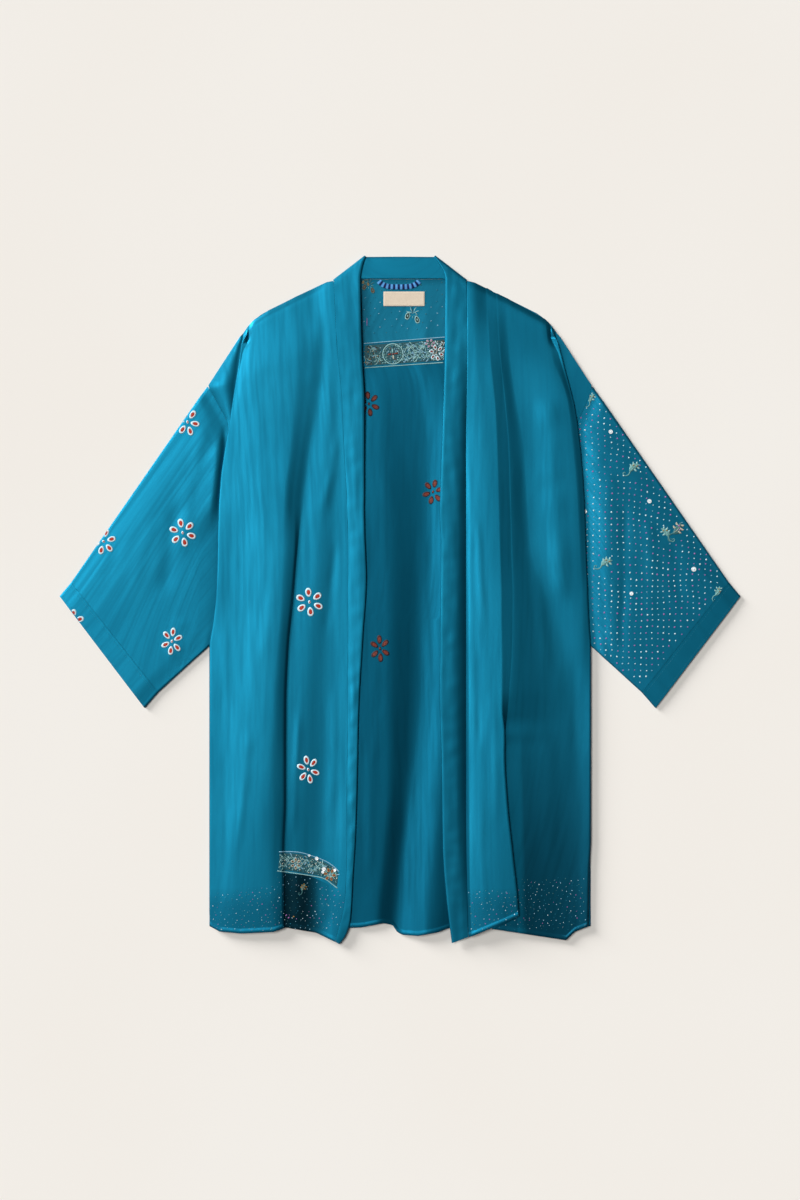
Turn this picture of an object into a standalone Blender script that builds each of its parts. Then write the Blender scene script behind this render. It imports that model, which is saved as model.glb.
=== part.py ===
"""Silk kimono robe with an open front, laid flat with its front up.

Each cut piece is a wall of cloth of its own, with the seams left just open. Sizes are in
millimetres until a mesh is written in metres. X runs across the robe, Y from the hem up to
the collar and Z up from the surface that the robe lies on. "Out" is the distance from the
centre line, the same on both sides, and heights are those of the middle of the wall.
"""

import math
from bisect import bisect_right

import bmesh
import bpy
from mathutils import Matrix

MM = 0.001
ROBE = "kimono_robe"

# Cloth
WALL = 1.0
SEAM_GAP = 0.3
HALF_GAP = SEAM_GAP / 2
LAID_FLAT = WALL / 2
SECOND_LAYER = 1.9
FOLD_RADIUS = 1.0
TURN_STEPS = 3
TURN_LENGTH = 2.0

# Outline, as (out, height up the robe)
COLLAR_CORNER = (50.2, 496.0)
NECK_CORNER = (95.4, 461.2)
NECK_SEAM_Y = 465.0
SHOULDER_LINE = ((96.0, 461.6), (107.0, 459.6), (150.0, 439.5), (200.0, 414.5), (216.0, 402.0), (228.0, 385.0))
SHOULDER_END = (232.0, 381.0)
SLEEVE_TOP = (278.5, 309.5)
SIDE_OUT = 276.2
SIDE_HEM_Y = -473.0
CUFF_SEAM_TOP = (476.3, 25.0)
CUFF_SEAM_LOW = (350.6, -134.1)
CUFF_TIP = (493.0, 5.1)
CUFF_CORNER = (370.2, -156.7)
SLEEVE_EDGE_INSET = 1.3

# Heights up the side edge at which every body panel has a row of points
SIDE_ROWS = (
    381.0, 376.0, 367.0, 350.0, 330.0, 309.5, 284.0, 258.0, 220.0, 180.0, 140.0, 95.0, 50.0, 0.0,
    -40.0, -62.0, -71.0, -110.0, -150.0, -190.0, -230.0, -270.0, -310.0, -350.0, -390.0, -425.0,
    -452.0, -473.0,
)
ARMHOLE_ROWS = SIDE_ROWS[5:16]

# Left front. Each row is a section at that height, each column a fold line.
LEFT_PLACES = (
    # y     seam    dip   ridge    foot    brow  plateau  outer
    (463.0, 96.0, 101.0, 106.0, 120.0, 152.0, 188.0, 206.0),
    (369.0, 91.4, 96.0, 101.0, 113.0, 150.0, 193.0, 215.0),
    (290.0, 84.0, 91.0, 101.0, 118.0, 154.0, 206.0, 232.0),
    (217.0, 81.0, 90.0, 106.0, 130.0, 160.0, 210.0, 240.0),
    (145.0, 77.0, 94.0, 114.0, 139.0, 168.0, 217.0, 245.0),
    (72.0, 75.4, 97.0, 118.0, 148.0, 170.0, 220.0, 247.0),
    (0.0, 75.4, 101.0, 126.0, 154.0, 173.0, 225.0, 250.0),
    (-73.0, 75.4, 104.0, 133.0, 161.0, 178.5, 228.0, 254.0),
    (-145.0, 75.4, 107.0, 140.0, 164.0, 183.5, 228.0, 255.0),
    (-218.0, 76.0, 110.0, 143.0, 164.5, 187.0, 225.0, 255.0),
    (-290.0, 77.0, 113.0, 144.0, 164.5, 191.0, 228.0, 255.0),
    (-363.0, 77.0, 117.0, 145.0, 167.0, 193.0, 235.0, 258.0),
    (-435.0, 80.0, 120.0, 147.0, 166.8, 188.0, 240.0, 260.0),
    (-490.0, 92.8, 122.0, 147.0, 166.0, 182.0, 228.0, 261.0),
)
LEFT_HEIGHTS = (
    # y    seam   dip  ridge  foot  brow  plateau  outer
    (463.0, 6.4, 6.4, 6.3, 6.2, 6.9, 6.9, 6.6),
    (369.0, 8.4, 8.3, 8.2, 7.7, 9.0, 8.8, 7.8),
    (290.0, 8.2, 8.0, 8.1, 7.4, 9.4, 8.7, 7.5),
    (217.0, 8.1, 7.8, 8.0, 7.2, 9.8, 8.6, 7.3),
    (145.0, 7.9, 7.5, 7.9, 7.0, 10.2, 8.5, 7.2),
    (72.0, 7.8, 7.2, 7.7, 6.9, 10.6, 8.5, 7.0),
    (0.0, 7.7, 6.9, 7.6, 6.9, 10.9, 8.6, 7.0),
    (-73.0, 7.7, 6.5, 7.3, 6.9, 11.3, 8.8, 6.9),
    (-145.0, 7.8, 6.3, 7.2, 6.9, 11.5, 9.4, 6.8),
    (-218.0, 8.0, 6.0, 7.1, 7.0, 11.7, 9.9, 6.8),
    (-290.0, 8.2, 5.6, 6.8, 7.1, 11.6, 10.0, 6.8),
    (-363.0, 8.2, 5.2, 6.3, 7.0, 11.1, 9.5, 6.8),
    (-435.0, 7.6, 4.4, 5.7, 6.9, 10.4, 8.4, 6.8),
    (-490.0, 6.4, 4.0, 5.2, 6.2, 9.4, 8.0, 6.8),
)
LEFT_SPANS = (2, 2, 2, 2, 2, 3, 2, 2)
LEFT_HEMS = (-495.4, -482.0, -477.5, -473.8, -480.0, -482.6, -480.0)
# The steep side of the left front's long pleat starts below this height
PLEAT_SHARPENS = (145.0, 60.0)
PLEAT_FOOT_RUN = 4.0

# Right front. The first group of lines ends at the pleat, the second starts behind it.
RIGHT_PLACES = (
    # y     seam   edge   crest  trough   rise
    (463.0, 96.0, 101.5, 108.0, 155.0, 205.0),
    (369.0, 97.0, 101.5, 110.0, 158.0, 214.0),
    (290.0, 96.0, 101.5, 118.0, 168.0, 241.0),
    (217.0, 95.0, 101.5, 121.0, 180.0, 250.0),
    (145.0, 95.0, 101.5, 125.0, 184.0, 256.0),
    (72.0, 95.0, 101.5, 128.0, 190.0, 259.5),
    (0.0, 95.0, 101.0, 130.0, 214.0, 263.0),
    (-73.0, 95.0, 101.0, 131.0, 234.0, 264.0),
    (-145.0, 95.0, 101.0, 131.0, 244.0, 264.0),
    (-218.0, 95.0, 101.0, 133.0, 246.0, 262.0),
    (-290.0, 95.0, 101.0, 136.0, 246.0, 260.0),
    (-363.0, 95.5, 101.5, 143.0, 244.0, 258.0),
    (-435.0, 97.0, 103.0, 150.0, 242.0, 256.0),
    (-490.0, 98.6, 105.0, 153.0, 240.0, 252.0),
)
RIGHT_HEIGHTS = (
    # y    seam  edge  crest  trough  rise
    (463.0, 6.4, 6.6, 6.8, 6.0, 6.0),
    (369.0, 8.3, 8.4, 8.6, 6.4, 6.6),
    (290.0, 7.8, 8.1, 8.8, 5.9, 7.8),
    (217.0, 7.2, 7.8, 8.9, 5.6, 8.0),
    (145.0, 6.5, 7.6, 9.1, 5.5, 8.0),
    (72.0, 6.0, 7.6, 9.4, 5.4, 7.6),
    (0.0, 5.8, 7.8, 9.8, 5.2, 6.9),
    (-73.0, 5.7, 8.1, 10.4, 5.0, 6.1),
    (-145.0, 5.8, 8.5, 11.1, 4.8, 5.3),
    (-218.0, 6.0, 9.0, 12.1, 4.7, 5.0),
    (-290.0, 6.4, 9.7, 12.9, 4.7, 4.9),
    (-363.0, 7.1, 10.4, 13.7, 4.7, 4.9),
    (-435.0, 8.0, 11.0, 14.2, 4.7, 4.9),
    (-490.0, 8.3, 11.2, 14.4, 4.7, 4.9),
)
RIGHT_SPANS = ((2, 3, 2), (4, 2, 2))
RIGHT_HEMS = ((-487.7, -485.6, -465.5, -457.3), (-476.0, -492.9, -480.6))
# The right front's pleat: open and almost flat above, folded right under towards the hem
PLEAT = (
    # y     edge    top  angle   leg
    (463.0, 140.0, 6.2, 1.0, 12.0),
    (369.0, 144.0, 8.2, 3.6, 12.0),
    (290.0, 152.0, 9.0, 5.7, 12.0),
    (217.0, 158.0, 9.2, 5.7, 14.0),
    (145.0, 160.0, 9.5, 6.4, 14.0),
    (72.0, 162.0, 9.9, 6.4, 14.0),
    (0.0, 164.0, 10.6, 5.1, 14.0),
    (-73.0, 163.0, 11.4, 4.3, 12.0),
    (-130.0, 159.0, 12.0, 6.0, 8.0),
    (-160.0, 156.5, 12.4, 20.0, 6.0),
    (-180.0, 154.0, 12.7, 60.0, 3.0),
    (-200.0, 152.0, 13.0, 120.0, 1.0),
    (-220.0, 151.5, 13.3, 180.0, 0.6),
    (-290.0, 155.2, 13.8, 180.0, 7.5),
    (-363.0, 162.7, 14.2, 180.0, 19.0),
    (-435.0, 170.2, 14.3, 180.0, 31.5),
    (-490.0, 173.2, 14.3, 180.0, 38.5),
)
PLEAT_RADIUS = 1.2

# Side fold that lies over the sleeve, and the seam hidden behind it
LEFT_SIDE = (
    # y     fold    seam
    (381.0, 228.0, 232.0),
    (309.5, 239.0, 278.5),
    (284.0, 243.0, 264.0),
    (258.0, 247.0, 249.7),
    (220.0, 253.5, 247.5),
    (180.0, 259.5, 252.0),
    (140.0, 262.6, 255.0),
    (95.0, 264.2, 257.0),
    (50.0, 264.8, 258.5),
    (0.0, 267.0, 260.5),
    (-40.0, 272.0, 265.0),
    (-62.0, 276.0, 270.6),
    (-71.0, 276.2, 275.2),
    (-452.0, 276.2, 275.2),
    (-473.0, 275.4, 274.4),
)
RIGHT_SIDE = (
    # y     fold    seam
    (381.0, 227.0, 232.0),
    (309.5, 246.0, 278.5),
    (284.0, 252.5, 270.0),
    (258.0, 257.0, 258.0),
    (220.0, 261.5, 255.0),
    (180.0, 265.0, 258.0),
    (140.0, 267.5, 260.5),
    (95.0, 269.0, 262.0),
    (50.0, 270.5, 263.5),
    (0.0, 272.5, 266.0),
    (-40.0, 274.6, 268.6),
    (-62.0, 276.2, 270.6),
    (-71.0, 276.4, 275.2),
    (-350.0, 276.4, 275.2),
    (-390.0, 274.0, 272.8),
    (-473.0, 272.6, 271.4),
)
FOLD_TURNS = (381.0, 345.0)
FOLD_DEEPENS = (348.0, 315.0)
FOLD_LEGS = (3.0, 0.5)
FOLD_UNDER = 8.0
SEAM_BEHIND_FOLD = 3.0
RIGHT_SEAM_LEAN = 0.45
# The side folds stand up, and the cloth behind the left one bows. By side, left first.
WING_LIFT = {-1: 0.1, 1: 0.0}
FOLD_STAND = {-1: 0.8, 1: 0.8}
FOLD_STANDS = (330.0, 260.0, 10.0, -60.0)
# The cloth turns up in a narrow edge at the shoulder, then rises gently
SHOULDER_CURL = (7.0, 90.0)
SHOULDER_EASE = (100.0, 130.0)

# Neck band
BAND_RADIUS = 0.9
BAND_PLANE = BAND_RADIUS + WALL / 2
COLLAR_RADIUS = 1.6
COLLAR_PLANE = BAND_PLANE + 2 * COLLAR_RADIUS
COLLAR_TOP = COLLAR_PLANE + BAND_RADIUS
COLLAR_TURNS = 4
BACK_NECK_ROWS = 5
COLLAR_FAN_START = 380.0
BAND_EDGE_INSET = 1.4
BAND_ACROSS = (0.0, 0.3, 0.65, 1.0)
BAND_FALL = {-1: 2.0, 1: 5.0}
LEFT_BAND = (
    # y     edge   edge height
    (496.0, 50.2, COLLAR_TOP),
    (465.0, 56.6, 6.4),
    (361.0, 54.7, 8.6),
    (284.0, 51.0, 8.8),
    (118.0, 51.0, 9.0),
    (31.0, 48.3, 9.0),
    (-53.0, 53.2, 9.0),
    (-161.0, 59.2, 9.0),
    (-270.0, 61.6, 9.0),
    (-343.0, 63.9, 8.8),
    (-403.0, 67.6, 8.6),
    (-463.0, 71.2, 7.6),
    (-485.0, 78.0, 6.8),
    (-497.9, 87.2, 6.4),
)
RIGHT_BAND = (
    # y     edge   edge height
    (496.0, 50.2, COLLAR_TOP),
    (465.0, 65.0, 6.4),
    (346.0, 64.1, 8.8),
    (237.0, 60.6, 9.4),
    (118.0, 57.1, 9.5),
    (85.0, 59.0, 9.5),
    (-137.0, 57.3, 9.5),
    (-225.0, 59.5, 9.5),
    (-358.0, 61.6, 9.5),
    (-425.0, 66.1, 9.2),
    (-496.2, 74.7, 8.4),
)
BAND_HEM_START = -440.0

# Back panel, folds between the fronts. Places are across the robe, left is negative.
BACK_PLACES = (
    # y     under left  shelf    swell   valley   ridge  under right
    (465.0, -112.0, -52.0, -22.0, 8.0, 42.0, 97.0),
    (345.0, -112.0, -52.0, -26.0, 4.0, 44.0, 97.0),
    (310.0, -112.0, -54.0, -36.0, 22.0, 60.0, 97.0),
    (217.0, -112.0, -56.0, -38.0, 38.0, 74.0, 97.0),
    (145.0, -112.0, -54.0, -26.0, 38.0, 77.0, 97.0),
    (0.0, -112.0, -52.0, -20.0, 34.0, 77.0, 97.0),
    (-73.0, -112.0, -54.0, -21.0, 31.0, 76.0, 97.0),
    (-145.0, -112.0, -56.0, -20.0, 27.0, 74.0, 97.0),
    (-218.0, -112.0, -58.0, -18.0, 21.0, 64.0, 97.0),
    (-290.0, -112.0, -60.0, -20.0, 13.0, 58.0, 97.0),
    (-363.0, -112.0, -62.0, -25.0, 4.0, 52.0, 97.0),
    (-435.0, -112.0, -66.0, -32.0, -3.0, 46.0, 97.0),
    (-486.0, -112.0, -72.0, -36.0, -8.0, 41.0, 97.0),
)
BACK_HEIGHTS = (
    # y    under left  shelf  swell  valley  ridge  under right
    (465.0, 0.5, 0.5, 0.5, 0.5, 0.5, 0.5),
    (345.0, 0.5, 0.5, 0.5, 0.6, 1.0, 0.5),
    (310.0, 0.5, 0.8, 1.2, 0.8, 2.2, 0.5),
    (217.0, 0.5, 2.5, 2.8, 0.7, 3.7, 0.5),
    (145.0, 0.5, 4.1, 4.2, 0.7, 4.3, 0.5),
    (0.0, 0.5, 5.1, 5.1, 0.6, 4.7, 0.5),
    (-73.0, 0.5, 5.5, 5.4, 0.6, 4.9, 0.5),
    (-145.0, 0.5, 5.7, 5.5, 0.6, 5.0, 0.5),
    (-218.0, 0.5, 5.7, 5.4, 0.5, 5.2, 0.5),
    (-290.0, 0.5, 5.7, 5.3, 0.5, 5.5, 0.5),
    (-363.0, 0.5, 5.6, 5.3, 0.5, 6.4, 0.5),
    (-435.0, 0.5, 4.9, 5.3, 0.5, 7.8, 0.5),
    (-486.0, 0.5, 3.7, 5.2, 0.5, 8.6, 0.5),
)
BACK_SPANS = (2, 2, 2, 4, 3)
BACK_OUTER_COLUMNS = 4
BACK_HEM = (
    # across  hem
    (-276.2, -471.0),
    (-112.0, -474.0),
    (-72.0, -475.0),
    (-56.0, -474.0),
    (-26.0, -468.2),
    (-12.0, -471.5),
    (-4.5, -481.5),
    (3.0, -485.3),
    (25.0, -486.3),
    (53.0, -481.0),
    (72.0, -474.6),
    (97.0, -474.0),
    (235.0, -476.0),
    (262.0, -479.0),
    (276.2, -473.5),
)
BACK_NECK = ((0.0, 464.7), (60.0, 464.4), (94.0, 460.6), (99.0, 460.6))

# Sleeves: height of the upper layer by distance from the armhole seam, where the shoulder runs
# on into the sleeve and where the side fold lies over it
ARMHOLE_RISE = (0.0, 8.5, 13.0, 20.0, 30.0, 46.0)
SLEEVE_REACH = (0.22, 0.45, 0.7, 1.0)
LEFT_SLEEVE = (
    # distance  by the shoulder  by the fold
    (0.0, SECOND_LAYER, SECOND_LAYER),
    (8.5, 2.0, SECOND_LAYER),
    (13.0, 2.3, 2.8),
    (20.0, 2.8, 4.4),
    (30.0, 3.4, 5.2),
    (46.0, 4.0, 4.9),
    (80.0, 4.2, 4.3),
    (360.0, 4.0, 4.0),
)
RIGHT_SLEEVE = (
    # distance  by the shoulder  by the fold
    (0.0, SECOND_LAYER, SECOND_LAYER),
    (10.0, 2.0, SECOND_LAYER),
    (17.0, 2.4, SECOND_LAYER),
    (26.0, 2.9, 2.4),
    (38.0, 3.4, 3.2),
    (56.0, 3.8, 4.0),
    (90.0, 4.0, 4.3),
    (360.0, 3.8, 3.8),
)
SHOULDER_TO_FOLD = (265.0, 225.0)
# The left sleeve falls to the fold above this height and lies calm below it
LEFT_FALL_ENDS = (175.0, 115.0)
CALM_SLEEVE = ((0.0, SECOND_LAYER), (7.0, 2.5), (20.0, 3.0), (34.0, 3.3), (60.0, 3.6), (360.0, 4.0))
SLEEVE_EDGE_HEIGHT = 2.0
SLEEVE_EDGE_ROUNDING = 0.07
CUFF_ROWS = (0.0, 0.5, 1.0)

# Label and hanging loop
LABEL_SIZE = (59.3, 20.8, 0.8)
LABEL_CENTRE = (5.8, 436.1)
LABEL_BEVEL = 0.25
LOOP_WIDTH = 7.2
LOOP_WALL = 1.2
LOOP_ENDS = (-31.0, 28.0)
LOOP_TOP_Y = 461.8
LOOP_SAG = 8.4
LOOP_STEPS = 14
LAID_ON_BACK = 2 * LAID_FLAT + SEAM_GAP

LEFT = -1
RIGHT = 1

TEAL_SILK = ("teal_silk", (0.012, 0.215, 0.337), 0.42)
BAND_SILK = ("band_silk", (0.014, 0.235, 0.355), 0.42)
DOTTED_SILK = ("dotted_silk", (0.016, 0.205, 0.31), 0.45)
STRIPED_RIBBON = ("striped_ribbon", (0.06, 0.22, 0.55), 0.6)
LABEL_COTTON = ("label_cotton", (0.76, 0.68, 0.56), 0.8)


class Track:
    """A smooth line through (place, value) pairs that stays between neighbouring values."""

    def __init__(self, pairs):
        self.places, self.values = zip(*sorted(pairs))
        runs = [b - a for a, b in zip(self.places, self.places[1:])]
        rises = [(b - a) / run for a, b, run in zip(self.values, self.values[1:], runs)]
        inner = [2 * a * b / (a + b) if a * b > 0 else 0.0 for a, b in zip(rises, rises[1:])]
        self.slopes = [rises[0], *inner, rises[-1]]

    def at(self, place):
        place = min(max(place, self.places[0]), self.places[-1])
        i = min(bisect_right(self.places, place) - 1, len(self.places) - 2)
        run = self.places[i + 1] - self.places[i]
        t = (place - self.places[i]) / run
        start = (1 + 2 * t) * (1 - t) ** 2 * self.values[i] + t * (1 - t) ** 2 * run * self.slopes[i]
        end = t * t * (3 - 2 * t) * self.values[i + 1] - t * t * (1 - t) * run * self.slopes[i + 1]
        return start + end


def columns(table):
    """One track down the robe for each column of a table whose first column is the height."""
    return [Track([(row[0], row[c]) for row in table]) for c in range(1, len(table[0]))]


def straight(pairs, place):
    """Value on straight lines between (place, value) pairs."""
    for (a, value_a), (b, value_b) in zip(pairs, pairs[1:]):
        if place <= b:
            return mix(value_a, value_b, max(0.0, (place - a) / (b - a)))
    return pairs[-1][1]


def mix(a, b, t):
    return a + (b - a) * t


def ease(t):
    """Smooth step from 0 to 1."""
    t = min(max(t, 0.0), 1.0)
    return t * t * (3 - 2 * t)


def ramp(value, start, end):
    return ease((value - start) / (end - start))


def shoulder_y(out):
    """Height of the shoulder's edge at a distance from the centre line."""
    return straight(SHOULDER_LINE + (SHOULDER_END,), out)


def on_shoulder(place):
    """Height at which a line, whose place is a function of y, meets the shoulder's edge."""
    y = NECK_CORNER[1]
    for _ in range(12):
        y = shoulder_y(place(y))
    return y


def row_share(side_row):
    """How far down a panel a row is, from 0 at the shoulder to 1 at the hem."""
    return (SIDE_ROWS[0] - side_row) / (SIDE_ROWS[0] - SIDE_HEM_Y)


def fold_points(edge, top, angle, leg, radius):
    """Cloth that turns down, runs back for the leg and turns out again, as (out, height) pairs.

    The angle is 0 where the cloth runs on flat and half a turn where it is folded under.
    """
    def turned(start, begin, bend):
        points = []
        for step in range(TURN_STEPS + 1):
            part = begin + (angle - 2 * begin) * step / TURN_STEPS
            swing, sink = math.sin(part) - math.sin(begin), math.cos(begin) - math.cos(part)
            if angle < 0.01:
                points.append((start[0] + TURN_LENGTH * step / TURN_STEPS, start[1]))
            else:
                points.append((start[0] + bend * radius * swing, start[1] - bend * radius * sink))
        return points

    radius = max(radius, TURN_LENGTH / max(angle, 0.01))
    first = turned((0.0, top), 0.0, 1)
    start = (first[-1][0] + leg * math.cos(angle), first[-1][1] - leg * math.sin(angle))
    points = first + turned(start, angle, -1)
    shift = edge - max(out for out, _ in points)
    return [(out + shift, height) for out, height in points]


class Fold:
    """A fold down a panel, given by a function from a height to the arguments of fold_points."""

    def __init__(self, shape, radius):
        self.shape = shape
        self.radius = radius

    def points(self, y):
        edge, top, angle, leg = self.shape(y)
        return fold_points(edge, top, angle, leg, self.radius)

    def start(self, y):
        return self.points(y)[0]

    def end(self, y):
        return self.points(y)[-1]


class Line:
    """A line down a panel: its place and height as a function of y, and where it ends."""

    def __init__(self, at, hem):
        self.at = at
        self.top = on_shoulder(lambda y: at(y)[0])
        self.hem = hem


class Front:
    """One front panel: folds across it, then the side fold and the strip that goes under it."""

    def __init__(self, side, side_table, lean):
        self.side = side
        self.lean = lean
        self.edge, self.seam = (straight_column(side_table, c) for c in (1, 2))
        self.side_fold = Fold(self.side_shape, FOLD_RADIUS)
        self.side_line = Line(self.side_start, SIDE_HEM_Y)
        self.groups = []
        self.pleat = None

    def stand(self, y, height):
        """How much further up a point of the side fold stands."""
        top, full, fading, end = FOLD_STANDS
        share = ramp(y, top, full) * ramp(y, end, fading)
        return share * FOLD_STAND[self.side] * ease((height - SECOND_LAYER) / (4 * FOLD_RADIUS))

    def side_start(self, y):
        """Where the side fold's cloth begins to turn down."""
        out, height = self.side_fold.start(y)
        return out, height + self.stand(y, height)

    def side_seam(self, y):
        """Outer edge of the cloth behind the side fold: the shoulder's edge, then the armhole."""
        return straight(self.seam, -y)

    def side_shape(self, y):
        """Edge, top, angle and leg of the side fold."""
        edge = straight(self.edge, -y)
        turned = 1.0 - ramp(y, FOLD_TURNS[1], FOLD_TURNS[0])
        deep = 1.0 - ramp(y, FOLD_DEEPENS[1], FOLD_DEEPENS[0])
        under = max(FOLD_UNDER, edge - self.side_seam(y) + SEAM_BEHIND_FOLD) - 2 * FOLD_RADIUS
        angle = math.pi * turned
        leg = mix(mix(FOLD_LEGS[0], FOLD_LEGS[1], turned), under, deep)
        flat = fold_points(0.0, 0.0, angle, leg, FOLD_RADIUS)
        return edge - WALL / 2, SECOND_LAYER - flat[-1][1], angle, leg

    @staticmethod
    def raised(y, top_y, out, height):
        """Bring the cloth down to the layer below along the shoulder's edge."""
        low = mix(COLLAR_TOP, SECOND_LAYER, ramp(out, *SHOULDER_EASE))
        begun, done = (ease((top_y - y) / reach) for reach in SHOULDER_CURL)
        return mix(low, height, mix(begun, done, 0.4))

    def group_points(self, share, lines, spans):
        """One row across a group of lines, from its first line to its last."""
        points = []
        for (line, following), steps in zip(zip(lines, lines[1:]), spans):
            last = following is lines[-1]
            for step in range(steps + 1 if last else steps):
                part = step / steps
                top = mix(line.top, following.top, part)
                y = mix(top, mix(line.hem, following.hem, part), share)
                out = mix(line.at(y)[0], following.at(y)[0], part)
                height = Track([guide.at(y) for guide in lines]).at(out)
                points.append((out, y, self.raised(y, top, out, height)))
        return points

    def pleat_points(self, upper, lower, tops):
        """Round the pleat's edge at one height and its foot at the other."""
        points = []
        half = TURN_STEPS + 1
        for i in range(2 * half):
            y, top = (upper, tops[0]) if i < half else (lower, tops[1])
            out, height = self.pleat.points(y)[i]
            points.append((out, y, self.raised(y, top, out, height)))
        return points

    def side_points(self, share):
        """Round the side fold, back under and out to the seam."""
        seam_y = mix(SIDE_ROWS[0], SIDE_HEM_Y, share)
        seam = self.side_seam(seam_y) - HALF_GAP
        points = []
        for begun, here in zip(self.side_fold.points(SIDE_ROWS[0]), self.side_fold.points(seam_y)):
            y = mix(shoulder_y(begun[0]), SIDE_HEM_Y, share)
            drift = straight(self.edge, -y) - straight(self.edge, -seam_y)
            points.append((here[0] + drift, y, here[1] + self.stand(seam_y, here[1])))
        out, y, _ = points[-1]
        lift = WING_LIFT[self.side] * max(seam - out, 0.0)
        points.append((mix(out, seam, 0.5), mix(y, seam_y, 0.5), SECOND_LAYER + lift))
        return points + [(seam, seam_y, SECOND_LAYER)]

    def inner_edge(self, share):
        """Where the neck band is sewn on."""
        lines = self.groups[0][0]
        y = mix(lines[0].top, lines[0].hem, share)
        out, height = lines[0].at(y)
        return out, y, self.raised(y, lines[0].top, out, height)

    def row(self, share):
        points = []
        for i, (lines, spans) in enumerate(self.groups):
            if i:
                before = self.groups[i - 1][0][-1]
                ends = [mix(line.top, line.hem, share) for line in (before, lines[0])]
                points[-1:] = self.pleat_points(*ends, (before.top, lines[0].top))[:-1]
            points += self.group_points(share, lines, spans)
        points[-1:] = self.side_points(share)
        out, y, height = points[0]
        points[0] = (out + HALF_GAP + self.lean, y, height)
        return points

    def grid(self):
        rows = []
        for side_row in SIDE_ROWS:
            rows.append([(self.side * out, y, z) for out, y, z in self.row(row_share(side_row))])
        return rows


def table_lines(places, heights, hems, first=0):
    """Lines from a table of places and one of heights, starting at a column."""
    lines = []
    for place, height, hem in zip(columns(places)[first:], columns(heights)[first:], hems):
        def at(y, place=place, height=height):
            return place.at(y), height.at(y)
        lines.append(Line(at, hem))
    return lines


def make_left_front():
    front = Front(LEFT, LEFT_SIDE, 0.0)
    lines = table_lines(LEFT_PLACES, LEFT_HEIGHTS, LEFT_HEMS)
    foot, brow = lines[3], lines[4]

    def steep(y):
        (foot_out, low), (brow_out, high) = foot.at(y), brow.at(y)
        sharp = 1.0 - ramp(y, PLEAT_SHARPENS[1], PLEAT_SHARPENS[0])
        run = mix((brow_out - foot_out) / 2, PLEAT_FOOT_RUN, sharp)
        return foot_out + run, low + (high - low) * mix(0.5, 0.62, sharp)

    lines.insert(4, Line(steep, mix(foot.hem, brow.hem, 0.3)))
    front.groups = [(lines + [front.side_line], LEFT_SPANS)]
    return front


def make_right_front():
    front = Front(RIGHT, RIGHT_SIDE, RIGHT_SEAM_LEAN)
    edge, top, angle, leg = columns(PLEAT)
    front.pleat = Fold(lambda y: (edge.at(y), top.at(y), math.radians(angle.at(y)), leg.at(y)), PLEAT_RADIUS)
    inner_hems, outer_hems = RIGHT_HEMS
    inner = table_lines(RIGHT_PLACES, RIGHT_HEIGHTS, inner_hems)[:3]
    outer = table_lines(RIGHT_PLACES, RIGHT_HEIGHTS, outer_hems[1:], 3)
    inner.append(Line(front.pleat.start, inner_hems[-1]))
    outer.insert(0, Line(front.pleat.end, outer_hems[0]))
    front.groups = list(zip((inner, outer + [front.side_line]), RIGHT_SPANS))
    return front


def straight_column(table, column):
    """A table's column as (depth below the collar, value) pairs, in rising order."""
    return tuple((-row[0], row[column]) for row in table)


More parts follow.
